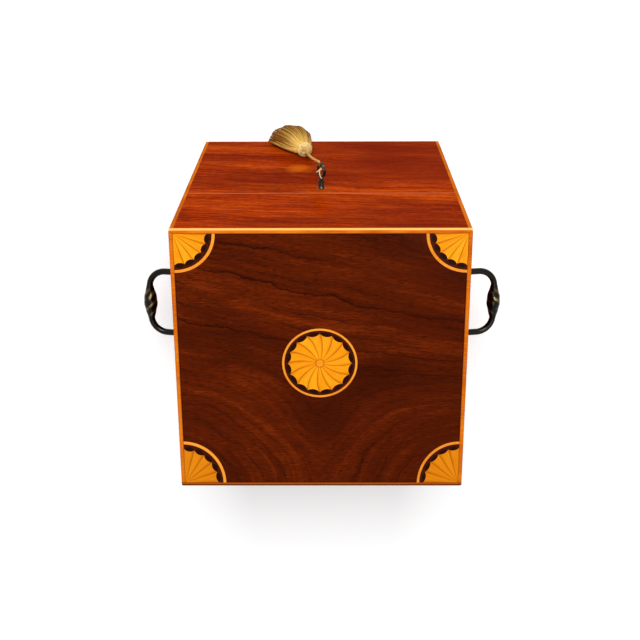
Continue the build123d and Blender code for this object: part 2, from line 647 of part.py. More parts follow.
# The boxwood string round the top edge, mitred at the corners and rounded outside
with BuildPart() as string_frame:
    with BuildSketch(Plane.XY.offset(HEIGHT - STRING)):
        RectangleRounded(WIDTH, DEPTH, STRING_ROUNDING)
    extrude(amount=STRING)
    fillet(string_frame.faces().sort_by(Axis.Z)[-1].edges(), STRING_ROUNDING - GLUE_LINE)
    with BuildSketch(Plane.XY.offset(HEIGHT - STRING)):
        Rectangle(WIDTH - 2 * STRING, DEPTH - 2 * STRING)
    extrude(amount=STRING, mode=Mode.SUBTRACT)
top_strings = []
for side in SIDES:
    with BuildPart() as bar:
        add(string_frame.part)
        with BuildSketch(side_plane(side, HEIGHT - STRING)):
            mitred_outline(SIDES[side][2], STRING)
        extrude(amount=STRING, mode=Mode.INTERSECT)
    top_strings.append(bar.part)
save(Compound(top_strings), "lid_top_strings")

with BuildPart() as lid_lining:
    with BuildSketch(Plane.XY.offset(SEAM + LINING_BELOW_RIM)):
        Rectangle(INNER_WIDTH - 2 * GLUE_LINE, INNER_DEPTH - 2 * GLUE_LINE)
    extrude(amount=LID_HEIGHT - VENEER - TOP_THICKNESS - LINING_BELOW_RIM)
    with BuildSketch(Plane.XY.offset(SEAM + LINING_BELOW_RIM)):
        Rectangle(INNER_WIDTH - 2 * BAIZE, INNER_DEPTH - 2 * BAIZE)
    extrude(amount=LID_HEIGHT - VENEER - TOP_THICKNESS - LINING_BELOW_RIM - BAIZE, mode=Mode.SUBTRACT)
save(lid_lining.part, "lid_lining")

# Link plate under the lid's front, with two eyed staples that drop into the lock
STAPLE_ROUNDING = STAPLE_THICKNESS * 0.4
with BuildPart() as link_plate:
    with BuildSketch(Plane.XY.offset(SEAM)):
        with Locations((0, MECHANISM_Y)):
            Rectangle(LINK_PLATE_LENGTH, LINK_PLATE_WIDTH)
    extrude(amount=LOCK_PLATE)
    with BuildSketch(Plane.XY.offset(SEAM)):
        with Locations([(side * STAPLE_SPACING / 2, MECHANISM_Y) for side in (-1, 1)]):
            Rectangle(STAPLE_THICKNESS, STAPLE_WIDTH)
    extrude(amount=-STAPLE_DROP)
    feet = link_plate.faces().filter_by(Axis.Z).group_by(Axis.Z)[0].edges().filter_by(Axis.X)
    fillet(feet, STAPLE_ROUNDING)
    with BuildSketch(Plane.YZ):
        with Locations((MECHANISM_Y, SEAM + FINGER_MIDDLE)):
            Rectangle(STAPLE_EYE_WIDTH, STAPLE_EYE_HEIGHT)
    extrude(amount=STAPLE_SPACING, both=True, mode=Mode.SUBTRACT)
    cut_screw_seats(LINK_SCREWS, SCREW_LENGTH)
save(link_plate.part, "link_plate")
save(countersunk_screws(LINK_SCREWS, SCREW_LENGTH - LOCK_PLATE), "link_plate_screws")

# Lid ornament: veneer, a swirling patera in the middle and a fan in each corner, all let in flush
TOP_PLANE = Plane.XY.offset(VENEER_BOTTOM)
PATERA_PLANE = Plane(origin=(PATERA_ACROSS, 0, VENEER_BOTTOM))
PATERA_INNER = PATERA_RING_RADIUS - PATERA_RING_WIDTH
FAN_CORNERS = []
for sx, sy in CORNERS:
    across, back = BACK_FAN if sy > 0 else FRONT_FAN
    reach, other_reach = (across, back) if sx == sy else (back, across)
    FAN_CORNERS.append((sx * (HALF_WIDTH - STRING), sy * (HALF_DEPTH - STRING), reach, other_reach / reach))


def corner_plane(x, y):
    """A plane at a lid corner whose first quadrant opens towards the middle of the lid."""
    turn = math.degrees(math.atan2(-y, -x)) // 90 * 90
    return Plane(Location((x, y, VENEER_BOTTOM), (0, 0, turn)))


def around(radius, degrees, stretch=1):
    """The point at an angle round a circle, or round one stretched into an oval."""
    angle = math.radians(degrees)
    return (radius * math.cos(angle), radius * stretch * math.sin(angle))


def scallops(tip_radius, valley_radius, first, last, count, grow, stretch=1):
    """Arcs that dip inwards between points set evenly round a centre."""
    step = (last - first) / count
    for index in range(count):
        angle = first + index * step
        ThreePointArc(
            around(tip_radius + grow, angle, stretch),
            around(valley_radius + grow, angle + step / 2, stretch),
            around(tip_radius + grow, angle + step, stretch),
        )


with BuildPart() as lid_veneer:
    with BuildSketch(TOP_PLANE):
        Rectangle(WIDTH - 2 * STRING, DEPTH - 2 * STRING)
        with Locations((PATERA_ACROSS, 0)):
            Circle(PATERA_RING_RADIUS + GLUE_LINE, mode=Mode.SUBTRACT)
    extrude(amount=VENEER)
    for x, y, radius, stretch in FAN_CORNERS:
        with BuildSketch(corner_plane(x, y)):
            Ellipse(radius + GLUE_LINE, (radius + GLUE_LINE) * stretch)
        extrude(amount=VENEER, mode=Mode.SUBTRACT)
save(lid_veneer.part, "lid_veneer")

with BuildPart() as patera_ring:
    with BuildSketch(PATERA_PLANE):
        Circle(PATERA_RING_RADIUS)
        Circle(PATERA_INNER, mode=Mode.SUBTRACT)
    extrude(amount=VENEER)
save(patera_ring.part, "patera_ring")

with BuildPart() as patera_ground:
    with BuildSketch(PATERA_PLANE):
        Circle(PATERA_INNER - GLUE_LINE)
        with BuildLine():
            scallops(PATERA_TIP_RADIUS, PATERA_VALLEY_RADIUS, 0, 360, PATERA_PETALS, GLUE_LINE)
        make_face(mode=Mode.SUBTRACT)
    extrude(amount=VENEER)
save(patera_ground.part, "patera_ground")

with BuildPart() as patera_boss:
    with BuildSketch(PATERA_PLANE):
        Circle(PATERA_BOSS_RADIUS)
    extrude(amount=VENEER)
save(patera_boss.part, "patera_boss")

PETAL_STEP = 360 / PATERA_PETALS
PETAL_ROOT = PATERA_BOSS_RADIUS + GLUE_LINE
SIDE_RADII = (PETAL_ROOT, (PETAL_ROOT + PATERA_TIP_RADIUS) / 2, PATERA_TIP_RADIUS)
SIDE_TURNS = (-PATERA_SWIRL, -PATERA_SWIRL * 0.62, 0)


def petal_side(start, shrink):
    """Three points on a petal's curved side, drawn in by half a glue line."""
    return [
        around(radius, start + turn + shrink * math.degrees(GLUE_LINE / 2 / radius))
        for radius, turn in zip(SIDE_RADII, SIDE_TURNS)
    ]


with BuildPart() as patera_petals:
    for index in range(PATERA_PETALS):
        low_side = petal_side(index * PETAL_STEP, 1)
        high_side = petal_side((index + 1) * PETAL_STEP, -1)
        with BuildSketch(PATERA_PLANE):
            with BuildLine():
                ThreePointArc(*low_side)
                valley = around(PATERA_VALLEY_RADIUS, (index + 0.5) * PETAL_STEP)
                ThreePointArc(low_side[-1], valley, high_side[-1])
                ThreePointArc(*high_side)
                ThreePointArc(
                    low_side[0], around(PETAL_ROOT, (index + 0.5) * PETAL_STEP - PATERA_SWIRL), high_side[0]
                )
            make_face()
        extrude(amount=VENEER)
save(patera_petals.part, "patera_petals")

FAN_STEP = 90 / FAN_PETALS


with BuildPart() as fan_rings:
    for x, y, radius, stretch in FAN_CORNERS:
        with BuildSketch(corner_plane(x, y)):
            inside = radius - FAN_RING_WIDTH
            Ellipse(radius, radius * stretch)
            Ellipse(inside, inside * stretch, mode=Mode.SUBTRACT)
            Rectangle(radius, radius * stretch, align=(Align.MIN, Align.MIN), mode=Mode.INTERSECT)
        extrude(amount=VENEER)
save(fan_rings.part, "fan_rings")

with BuildPart() as fan_grounds:
    for x, y, radius, stretch in FAN_CORNERS:
        with BuildSketch(corner_plane(x, y)):
            with BuildLine():
                tips = radius - FAN_TIP
                outer = radius - FAN_RING_WIDTH - GLUE_LINE
                scallops(tips, radius - FAN_VALLEY, 0, 90, FAN_PETALS, GLUE_LINE, stretch)
                Line(around(tips + GLUE_LINE, 0), around(outer, 0))
                Line(around(tips + GLUE_LINE, 90, stretch), around(outer, 90, stretch))
                EllipticalCenterArc((0, 0), outer, outer * stretch, 0, arc_size=90)
            make_face()
        extrude(amount=VENEER)
save(fan_grounds.part, "fan_grounds")

with BuildPart() as fan_petals:
    for x, y, radius, stretch in FAN_CORNERS:
        for index in range(FAN_PETALS):
            tips = radius - FAN_TIP
            inset = math.degrees(GLUE_LINE / 2 / tips)
            low_point = around(tips, index * FAN_STEP + inset, stretch)
            high_point = around(tips, (index + 1) * FAN_STEP - inset, stretch)
            middle = (index + 0.5) * FAN_STEP
            with BuildSketch(corner_plane(x, y)):
                with BuildLine():
                    root = around(3 * GLUE_LINE, middle, stretch)
                    Line(root, low_point)
                    ThreePointArc(low_point, around(radius - FAN_VALLEY, middle, stretch), high_point)
                    Line(high_point, root)
                make_face()
            extrude(amount=VENEER)
save(fan_petals.part, "fan_petals")

# Butt hinges: five knuckles on one pin, the odd ones on the case leaf
KNUCKLE_PITCH = HINGE_LENGTH / 5
KNUCKLE_LENGTH = KNUCKLE_PITCH - KNUCKLE_GAP


def hinge_leaf(centre, direction, knuckles, screws):
    """A leaf let into the seam below (-1) or above (1), reaching back to its knuckles."""
    spots = [centre + (knuckle - 2) * KNUCKLE_PITCH for knuckle in knuckles]
    with BuildPart() as leaf:
        with BuildSketch(Plane.XY.offset(SEAM + direction * LEAF_GAP / 2)):
            with Locations((centre, HALF_DEPTH - LEAF_WIDTH / 2)):
                Rectangle(HINGE_LENGTH, LEAF_WIDTH)
            with Locations([(spot, HALF_DEPTH + HINGE_SETBACK / 2) for spot in spots]):
                Rectangle(KNUCKLE_LENGTH, HINGE_SETBACK)
        extrude(amount=direction * LEAF_THICKNESS)
        with Locations([Location((spot, HINGE_AXIS_Y, SEAM), (0, 90, 0)) for spot in spots]):
            Cylinder(KNUCKLE_RADIUS, KNUCKLE_LENGTH)
        with Locations(Location((centre, HINGE_AXIS_Y, SEAM), (0, 90, 0))):
            Cylinder(HINGE_PIN_RADIUS + HINGE_FIT, HINGE_LENGTH, mode=Mode.SUBTRACT)
        cut_screw_seats(screws, SCREW_LENGTH)
    return leaf.part


for centre, name in zip(HINGE_CENTRES, ("left", "right")):
    case_screws = [place for place in CASE_HINGE_SCREWS if abs(place.position.X - centre) < HINGE_LENGTH]
    lid_screws = [place for place in LID_HINGE_SCREWS if abs(place.position.X - centre) < HINGE_LENGTH]
    save(hinge_leaf(centre, -1, (0, 2, 4), case_screws), f"{name}_hinge_case_leaf")
    save(hinge_leaf(centre, 1, (1, 3), lid_screws), f"{name}_hinge_lid_leaf")
    with BuildPart() as hinge_pin:
        with Locations(Location((centre, HINGE_AXIS_Y, SEAM), (0, 90, 0))):
            Cylinder(HINGE_PIN_RADIUS, HINGE_LENGTH)
    save(hinge_pin.part, f"{name}_hinge_pin")
save(countersunk_screws(CASE_HINGE_SCREWS, SCREW_LENGTH), "case_hinge_screws")
save(countersunk_screws(LID_HINGE_SCREWS, SCREW_LENGTH), "lid_hinge_screws")

# Carrying handles: a bail with a swelled grip hangs from two turned posts on each end
PIVOT_X = HALF_WIDTH + BAIL_PIVOT_OUT
DROOP = math.radians(BAIL_DROOP)
ARM_LENGTH = (BAIL_REACH - BAIL_PIVOT_OUT - BAIL_GRIP_RADIUS) / math.cos(DROOP)
BAIL_PLANE = Plane(
    origin=(PIVOT_X, 0, BAIL_HEIGHT),
    x_dir=(math.cos(DROOP), 0, -math.sin(DROOP)),
    z_dir=(math.sin(DROOP), 0, math.cos(DROOP)),
)
GRIP_MIDDLE = (PIVOT_X + ARM_LENGTH * math.cos(DROOP), 0, BAIL_HEIGHT - ARM_LENGTH * math.sin(DROOP))
GRIP_PLANE = Plane(origin=GRIP_MIDDLE, x_dir=BAIL_PLANE.x_dir, z_dir=BAIL_PLANE.z_dir)
GRIP_WAIST = BAIL_ROD_RADIUS + POST_GAP
GRIP_SHOULDER = BAIL_ROD_RADIUS + (BAIL_GRIP_RADIUS - BAIL_ROD_RADIUS) * 0.62
with BuildPart() as right_bail:
    with BuildLine(BAIL_PLANE) as bail_line:
        FilletPolyline(
            (0, BAIL_SPAN / 2),
            (ARM_LENGTH, BAIL_SPAN / 2),
            (ARM_LENGTH, -BAIL_SPAN / 2),
            (0, -BAIL_SPAN / 2),
            radius=BAIL_CORNER,
        )
    with BuildSketch(Plane(origin=bail_line.line @ 0, z_dir=bail_line.line % 0)):
        Circle(BAIL_ROD_RADIUS)
    sweep(path=bail_line.line)
    with BuildSketch(GRIP_PLANE):
        with BuildLine():
            Spline(
                (GRIP_WAIST, -BAIL_GRIP_LENGTH / 2),
                (GRIP_SHOULDER, -BAIL_GRIP_LENGTH / 4),
                (BAIL_GRIP_RADIUS, 0),
                (GRIP_SHOULDER, BAIL_GRIP_LENGTH / 4),
                (GRIP_WAIST, BAIL_GRIP_LENGTH / 2),
                tangents=((0, 1), (0, 1)),
            )
            Polyline(
                (GRIP_WAIST, BAIL_GRIP_LENGTH / 2),
                (0, BAIL_GRIP_LENGTH / 2),
                (0, -BAIL_GRIP_LENGTH / 2),
                (GRIP_WAIST, -BAIL_GRIP_LENGTH / 2),
            )
        make_face()
    revolve(axis=Axis(GRIP_PLANE.origin, (0, 1, 0)))
    hub_length = 2 * (BAIL_ROD_RADIUS + BAIL_PIN_RADIUS / 4)
    pin_length = BAIL_ROD_RADIUS + POST_GAP + 2 * POST_BALL_RADIUS + 2 * POST_GAP
    for end in (-1, 1):
        with Locations(Location((PIVOT_X, end * BAIL_SPAN / 2, BAIL_HEIGHT), (90, 0, 0))):
            Cylinder(BAIL_HUB_RADIUS, hub_length)
        with Locations(Location((PIVOT_X, end * (BAIL_SPAN - pin_length) / 2, BAIL_HEIGHT), (90, 0, 0))):
            Cylinder(BAIL_PIN_RADIUS, pin_length)
save(right_bail.part, "right_bail")

POST_SPOTS = [
    Location(Plane(origin=(HALF_WIDTH, end * POST_Y, BAIL_HEIGHT), x_dir=(0, 1, 0), z_dir=(1, 0, 0)))
    for end in (-1, 1)
]
with BuildPart() as right_bail_posts:
    with Locations(POST_SPOTS):
        Cone(ROSETTE_RADIUS, ROSETTE_RADIUS - ROSETTE_THICKNESS, ROSETTE_THICKNESS, align=FROM_BASE)
        Cone(POST_NECK_RADIUS * 1.6, POST_NECK_RADIUS, BAIL_PIVOT_OUT, align=FROM_BASE)
        Cylinder(POST_SHANK_RADIUS, WALL, align=(Align.CENTER, Align.CENTER, Align.MAX))
        with Locations((0, 0, BAIL_PIVOT_OUT)):
            Sphere(POST_BALL_RADIUS)
    with Locations(Location((PIVOT_X, 0, BAIL_HEIGHT), (90, 0, 0))):
        Cylinder(BAIL_PIN_RADIUS + BAIL_FIT, BAIL_SPAN, mode=Mode.SUBTRACT)
save(right_bail_posts.part, "right_bail_posts")

with BuildPart() as right_bail_nuts:
    with Locations(POST_SPOTS):
        with Locations((0, 0, -WALL)):
            Cylinder(NUT_RADIUS, NUT_THICKNESS, align=FROM_BASE)
            Cylinder(POST_SHANK_RADIUS + GLUE_LINE / 2, NUT_THICKNESS, align=FROM_BASE, mode=Mode.SUBTRACT)
save(right_bail_nuts.part, "right_bail_nuts")

for part, name in (
    (right_bail.part, "left_bail"),
    (right_bail_posts.part, "left_bail_posts"),
    (right_bail_nuts.part, "left_bail_nuts"),
):
    save(mirror(part, about=Plane.YZ), name)

# Silk cord knotted round the key's bow: knot inside the bow, one turn over its rim and two short tails
RIM_MIDDLE = KEY_TIP - BOW_RIM / 2
KNOT_OUT = KEY_TIP - BOW_RIM - CORD_KNOT_RADIUS - GLUE_LINE
KNOT = Vector(0, FACE_Y - KNOT_OUT, KEY_Z)
TAILS = (
    ((0, 0, 0), (1.6, 1.2, 1.2), (4.4, 3.4, 1.6)),
    ((0, 0, 0), (1.6, 3.6, 2.2), (-0.5, 8.4, 4.8)),
)
with BuildPart() as key_cord_loop:
    with Locations(KNOT):
        Sphere(CORD_KNOT_RADIUS)
    wrap_plane = Plane(origin=(0, FACE_Y - RIM_MIDDLE, KEY_Z), x_dir=BOW_PLANE.z_dir, z_dir=ACROSS_BOW)
    with Locations(wrap_plane.location):
        Torus(CORD_WRAP_RADIUS, CORD_TAIL_RADIUS)
    for points in TAILS:
        with BuildLine() as tail:
            Spline(*[KNOT + Vector(*point) for point in points])
        with BuildSketch(Plane(origin=tail.line @ 0, z_dir=tail.line % 0)):
            Circle(CORD_TAIL_RADIUS)
        sweep(path=tail.line)
save(key_cord_loop.part, "key_cord_loop")

# The cord hangs from the bow to the tassel's head through points set across from, out from and below the key
HEAD_X = TASSEL_HEAD_PLACE[0]
HEAD_Z = KEY_Z - TASSEL_HEAD_PLACE[1]
HEAD_Y = FACE_Y - FACE_GAP - TASSEL_HEAD_RADIUS
TILT = math.radians(TASSEL_TILT)
DOWN_TASSEL = Vector(math.sin(TILT), 0, -math.cos(TILT))
HEAD = Vector(HEAD_X, HEAD_Y, HEAD_Z)
CORD_POINTS = [
    *[Vector(across, FACE_Y - out, KEY_Z - below) for across, out, below in (CORD_TOP_PLACE, *CORD_BENDS)],
    HEAD - DOWN_TASSEL * TASSEL_HEAD_RADIUS,
]


def bend_radii(points):
    """The largest arc at each inner point that its two runs allow."""
    radii = []
    for before, here, after in zip(points, points[1:], points[2:]):
        turn = math.radians((here - before).get_angle(after - here))
        shorter = min((here - before).length, (after - here).length)
        radii.append(0.45 * shorter / math.tan(turn / 2))
    return radii


CORD_RADII = bend_radii(CORD_POINTS)
print("tassel cord bend radii", [round(radius, 1) for radius in CORD_RADII])
with BuildPart() as tassel_cord:
    with BuildLine() as cord_line:
        FilletPolyline(*CORD_POINTS, radius=CORD_RADII)
    with BuildSketch(Plane(origin=cord_line.line @ 0, z_dir=cord_line.line % 0)):
        Circle(CORD_RADIUS)
    sweep(path=cord_line.line)
print("tassel cord length", round(cord_line.wire().length, 1), "volume", round(tassel_cord.part.volume, 1))
print("section times length", round(math.pi * CORD_RADIUS**2 * cord_line.wire().length, 1))
save(tassel_cord.part, "tassel_cord")

# Tassel: a covered wooden mould as its head and a full silk skirt that lies against the front
SKIRT_PLANE = Plane(origin=HEAD, x_dir=(math.cos(TILT), 0, math.sin(TILT)), z_dir=DOWN_TASSEL)
NECK_PLACE, NECK_RADIUS = SKIRT_NECK
with BuildPart() as tassel_head:
    with Locations(SKIRT_PLANE.location):
        Sphere(TASSEL_HEAD_RADIUS)
        with Locations((0, 0, NECK_PLACE)):
            Cylinder(TASSEL_HEAD_RADIUS, TASSEL_HEAD_RADIUS, align=FROM_BASE, mode=Mode.SUBTRACT)
save(tassel_head.part, "tassel_head")

# Each cut across the skirt is wide, flat on the face's side and round on the other
HEAD_OUT = FACE_GAP + TASSEL_HEAD_RADIUS
NECK_CUT = (NECK_PLACE, NECK_RADIUS, HEAD_OUT - NECK_RADIUS, HEAD_OUT, HEAD_OUT + NECK_RADIUS)
with BuildPart() as tassel_skirt:
    for place, half_width, low, middle, high in (NECK_CUT, *SKIRT_SWELLS):
        with BuildSketch(SKIRT_PLANE.offset(place)):
            with BuildLine():
                centre = (0, middle - HEAD_OUT)
                EllipticalCenterArc(centre, half_width, high - middle, 0, arc_size=180)
                EllipticalCenterArc(centre, half_width, middle - low, 180, arc_size=180)
            make_face()
    loft()
save(tassel_skirt.part, "tassel_skirt")
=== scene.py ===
import bpy
import numpy as np
from mathutils import Matrix


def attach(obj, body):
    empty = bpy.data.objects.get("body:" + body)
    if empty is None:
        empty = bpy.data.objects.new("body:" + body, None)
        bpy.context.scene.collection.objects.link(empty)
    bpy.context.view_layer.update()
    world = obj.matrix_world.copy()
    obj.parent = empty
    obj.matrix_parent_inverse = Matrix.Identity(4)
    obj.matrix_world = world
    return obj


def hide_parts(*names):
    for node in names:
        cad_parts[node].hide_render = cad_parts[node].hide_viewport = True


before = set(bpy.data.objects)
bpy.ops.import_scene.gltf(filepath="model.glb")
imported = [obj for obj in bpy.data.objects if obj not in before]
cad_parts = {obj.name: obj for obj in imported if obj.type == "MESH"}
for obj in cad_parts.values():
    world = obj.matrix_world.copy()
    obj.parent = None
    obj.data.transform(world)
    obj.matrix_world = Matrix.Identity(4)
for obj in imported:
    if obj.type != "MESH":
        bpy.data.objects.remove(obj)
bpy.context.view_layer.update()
scene = bpy.context.scene
scene.view_settings.view_transform = "Standard"

# Camera: a long lens close in front of the box and well above it, which is how a box laid on
# its back shows both its lid and its keyhole face.
camera = bpy.data.objects.new("camera", bpy.data.cameras.new("camera"))
camera.data.sensor_width = 36
camera.data.lens = 62.95
camera.data.shift_y = -0.0625
camera.data.clip_end = 20
right = np.array([-0.99997214, 0.00381315, -0.0064166])
up = np.array([-0.00131365, -0.93614982, -0.35159891])
ahead = np.array([0.0073476, 0.35158069, -0.93612875])
eye = (-0.0059, -0.38095, 1.11197)
camera_rows = [(right[i], up[i], -ahead[i], eye[i]) for i in range(3)]
camera.matrix_world = Matrix([*camera_rows, (0, 0, 0, 1)])
scene.collection.objects.link(camera)
scene.camera = camera


# Tassel cord: three strands of gold silk laid into a twist. It is tied at the key's bow and
# comes down slack, lying back against the keyhole face where the tassel rests on it.
CORD_ROUTE = np.array(
    [
        (1.8, -136.1, 169.4),
        (5.4, -131.7, 145.8),
        (8.8, -127.6, 121.8),
        (12.0, -123.9, 97.8),
        (14.685, -121.5, 73.948),
    ]
) / 1000
CORD_RADIUS = 0.0012
CORD_PITCH = 0.0072
CORD_STRANDS = 3
CORD_SIDE = (1, 0, 0)


def route_line(points, steps):
    """The centreline as points: a quadratic NURBS spline clamped at its ends."""
    curve = bpy.data.curves.new("route", "CURVE")
    curve.dimensions = "3D"
    spline = curve.splines.new("NURBS")
    spline.points.add(len(points) - 1)
    spline.points.foreach_set("co", np.hstack([points, np.ones((len(points), 1))]).ravel())
    spline.order_u = 3
    spline.use_endpoint_u = True
    spline.resolution_u = steps
    carrier = bpy.data.objects.new("route", curve)
    mesh = bpy.data.meshes.new_from_object(carrier)
    line = np.empty(len(mesh.vertices) * 3)
    mesh.vertices.foreach_get("co", line)
    bpy.data.meshes.remove(mesh)
    bpy.data.objects.remove(carrier)
    bpy.data.curves.remove(curve)
    return line.reshape(-1, 3)


def unit(vectors):
    """Each vector divided by its own length."""
    return vectors / np.linalg.norm(vectors, axis=-1, keepdims=True)


def tube(line, radius, sides, reference):
    """Rings carried along a line: line + radius (cos t A + sin t B), with A and B square to the line
    and A square to the reference direction as well. Radius is a number or an array over the rings.
    A line that ends where it starts keeps one direction there."""
    step = np.gradient(line, axis=-2)
    if np.allclose(line[..., 0, :], line[..., -1, :], atol=1e-9):
        step[..., [0, -1], :] = (line[..., 1, :] - line[..., -2, :])[..., None, :] / 2
    ahead = unit(step)
    first = unit(np.cross(ahead, np.asarray(reference, float)))
    second = np.cross(ahead, first)
    turn = np.linspace(0, 2 * np.pi, sides, endpoint=False)
    radius = np.asarray(radius, float)
    radius = radius[..., None] if radius.ndim and radius.shape[-1:] != (sides,) else radius
    spokes = np.cos(turn)[:, None] * first[..., None, :] + np.sin(turn)[:, None] * second[..., None, :]
    return line[..., None, :] + np.broadcast_to(radius, spokes.shape[:-1])[..., None] * spokes


def twisted(line, offset, pitch, phase, reference):
    """A strand's centreline: the line plus offset (cos w A + sin w B), with w growing by a turn for
    each pitch."""
    ahead = unit(np.gradient(line, axis=0))
    first = unit(np.cross(ahead, np.asarray(reference, float)))
    second = np.cross(ahead, first)
    step = np.linalg.norm(np.diff(line, axis=0), axis=1)
    turn = 2 * np.pi * np.concatenate([[0], np.cumsum(step)]) / pitch + phase
    return line + offset * (np.cos(turn)[:, None] * first + np.sin(turn)[:, None] * second)


def make_piece(name, grids, material, body):
    """Meshes the grids of rings into one object. Each ring closes on itself and turns the right-hand
    way about the direction that the rings go. Each end is closed by a fan to its middle, or the last
    ring is joined to the first where they lie together. The UV map runs along the rings in u and
    around them in v, one whole v further for each strand of a grid."""
    corners, faces, uvs, start = [], [], [], 0
    for grid in grids:
        count, rings, sides = grid.shape[0], grid.shape[1], grid.shape[2]
        hoop = np.allclose(grid[:, 0], grid[:, -1], atol=1e-8)
        grid = grid[:, : rings - 1] if hoop else grid
        number = np.arange(grid[..., 0].size).reshape(grid.shape[:3]) + start
        number = np.concatenate([number, number[:, :1]], axis=1) if hoop else number
        i, j = np.meshgrid(np.arange(rings - 1), np.arange(sides), indexing="ij")
        k = (j + 1) % sides
        quads = [number[:, i, j], number[:, i, k], number[:, i + 1, k], number[:, i + 1, j]]
        u = np.stack([i, i, i + 1, i + 1], axis=-1) / (rings - 1)
        v = np.stack([j, j + 1, j + 1, j], axis=-1) / sides
        faces.append(np.stack(quads, axis=-1).reshape(-1, 4))
        strand = np.stack([np.zeros(count), np.arange(count)], axis=-1)[:, None, None, None]
        uvs.append((np.stack([u, v], axis=-1) + strand).reshape(-1, 4, 2))
        corners.append(grid.reshape(-1, 3))
        start += grid[..., 0].size
        ends = () if hoop else ((0, -1), (rings - 1, 1))
        for ring, order in ends:
            edge = number[:, ring]
            hub = np.arange(count)[:, None] + start + np.zeros_like(edge)
            near, far = (edge, np.roll(edge, -1, axis=1))[::order]
            faces.append(np.stack([near, far, hub], axis=-1).reshape(-1, 3))
            uvs.append(np.full((edge.size, 3, 2), ring / (rings - 1)))
            corners.append(grid[:, ring].mean(axis=1))
            start += count
    mesh = bpy.data.meshes.new(name)
    polygons = [face for part in faces for face in part.tolist()]
    mesh.from_pydata(np.concatenate(corners).tolist(), [], polygons)
    layer = mesh.uv_layers.new(name="lay")
    flat = np.concatenate([part.reshape(-1, 2) for part in uvs])
    layer.data.foreach_set("uv", flat.ravel().astype(np.float32))
    mesh.polygons.foreach_set("use_smooth", np.ones(len(mesh.polygons), bool))
    mesh.materials.append(material)
    piece = bpy.data.objects.new(name, mesh)
    scene.collection.objects.link(piece)
    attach(piece, body)
    return piece


def paint(red, green, blue):
    """A colour picked on a scale to 255, as linear light."""
    value = np.array([red, green, blue]) / 255
    linear = np.where(value > 0.04045, ((value + 0.055) / 1.055) ** 2.4, value / 12.92)
    return (*linear.tolist(), 1)


class Tint:
    """A shader value that Python's operators can work on. Each operator adds its Math node."""

    def __init__(self, tree, socket=None):
        self.tree, self.socket = tree, socket

    def node(self, kind, settings=None, sockets=None, output=0):
        made = self.tree.nodes.new(kind)
        for name, value in (settings or {}).items():
            setattr(made, name, value)
        for name, value in (sockets or {}).items():
            if isinstance(value, Tint):
                self.tree.links.new(value.socket, made.inputs[name])
            else:
                made.inputs[name].default_value = value
        return Tint(self.tree, made.outputs[output] if made.outputs else None)

    def maths(self, operation, *others):
        return self.node("ShaderNodeMath", {"operation": operation}, dict(enumerate((self, *others))))

    def __add__(self, other):
        return self.maths("ADD", other)

    def __mul__(self, other):
        return self.maths("MULTIPLY", other)

    def __sub__(self, other):
        return self.maths("SUBTRACT", other)

    def __truediv__(self, other):
        return self.maths("DIVIDE", other)

    def __pow__(self, other):
        return self.maths("POWER", other)

    def __rsub__(self, other):
        return self.node("ShaderNodeMath", {"operation": "SUBTRACT"}, {0: other, 1: self})

    def __gt__(self, other):
        return self.maths("GREATER_THAN", other)

    __radd__ = __add__
    __rmul__ = __mul__


def start_finish(name, source="Object"):
    """A new material and the coordinates that its pattern reads: the object's own, or its UV map's."""
    material = bpy.data.materials.new(name)
    material.use_nodes = True
    material.node_tree.nodes.clear()
    blank = Tint(material.node_tree)
    if source == "Object":
        point = blank.node("ShaderNodeTexCoord", output="Object")
    else:
        point = blank.node("ShaderNodeUVMap", {"uv_map": "lay"})
    split = point.node("ShaderNodeSeparateXYZ", sockets={"Vector": point})
    return material, point, [Tint(split.tree, split.socket.node.outputs[i]) for i in range(3)]


def noise(point, scale, detail, roughness=0.55, stretch=(1, 1, 1)):
    """Soft random variation, with so many features a metre along each axis."""
    if stretch != (1, 1, 1):
        point = point.node("ShaderNodeMapping", sockets={"Vector": point, "Scale": stretch})
    sockets = {"Vector": point, "Scale": scale, "Detail": detail, "Roughness": roughness}
    return point.node("ShaderNodeTexNoise", sockets=sockets)


def own_value(number):
    """A fixed random value from 0 to 1 for each number."""
    settings = {"noise_dimensions": "1D"}
    return number.node("ShaderNodeTexWhiteNoise", settings, {"W": number}, output="Value")


def ease(value, low, high):
    """0 below low, 1 above high, and a smooth step between them."""
    sockets = {"Value": value, "From Min": low, "From Max": high, "To Min": 0.0, "To Max": 1.0}
    return value.node("ShaderNodeMapRange", {"interpolation_type": "SMOOTHSTEP"}, sockets)


def blend_colours(share, first, second):
    """The first colour where share is 0 and the second where it is 1."""
    return share.node("ShaderNodeMix", {"data_type": "RGBA"}, {0: share, 6: first, 7: second}, output=2)


def end_finish(material, colour, roughness, height, depth, **fixed):
    """Lays colour, roughness and relief on the shader; everything in fixed is one number all over."""
    blank = Tint(material.node_tree)
    relief = {"Strength": 1.0, "Distance": depth, "Height": height}
    normal = blank.node("ShaderNodeBump", sockets=relief)
    sockets = {"Base Color": colour, "Roughness": roughness, "Normal": normal}
    sockets.update({name.replace("_", " "): value for name, value in fixed.items()})
    shader = blank.node("ShaderNodeBsdfPrincipled", sockets=sockets)
    blank.node("ShaderNodeOutputMaterial", sockets={"Surface": shader})
    return material


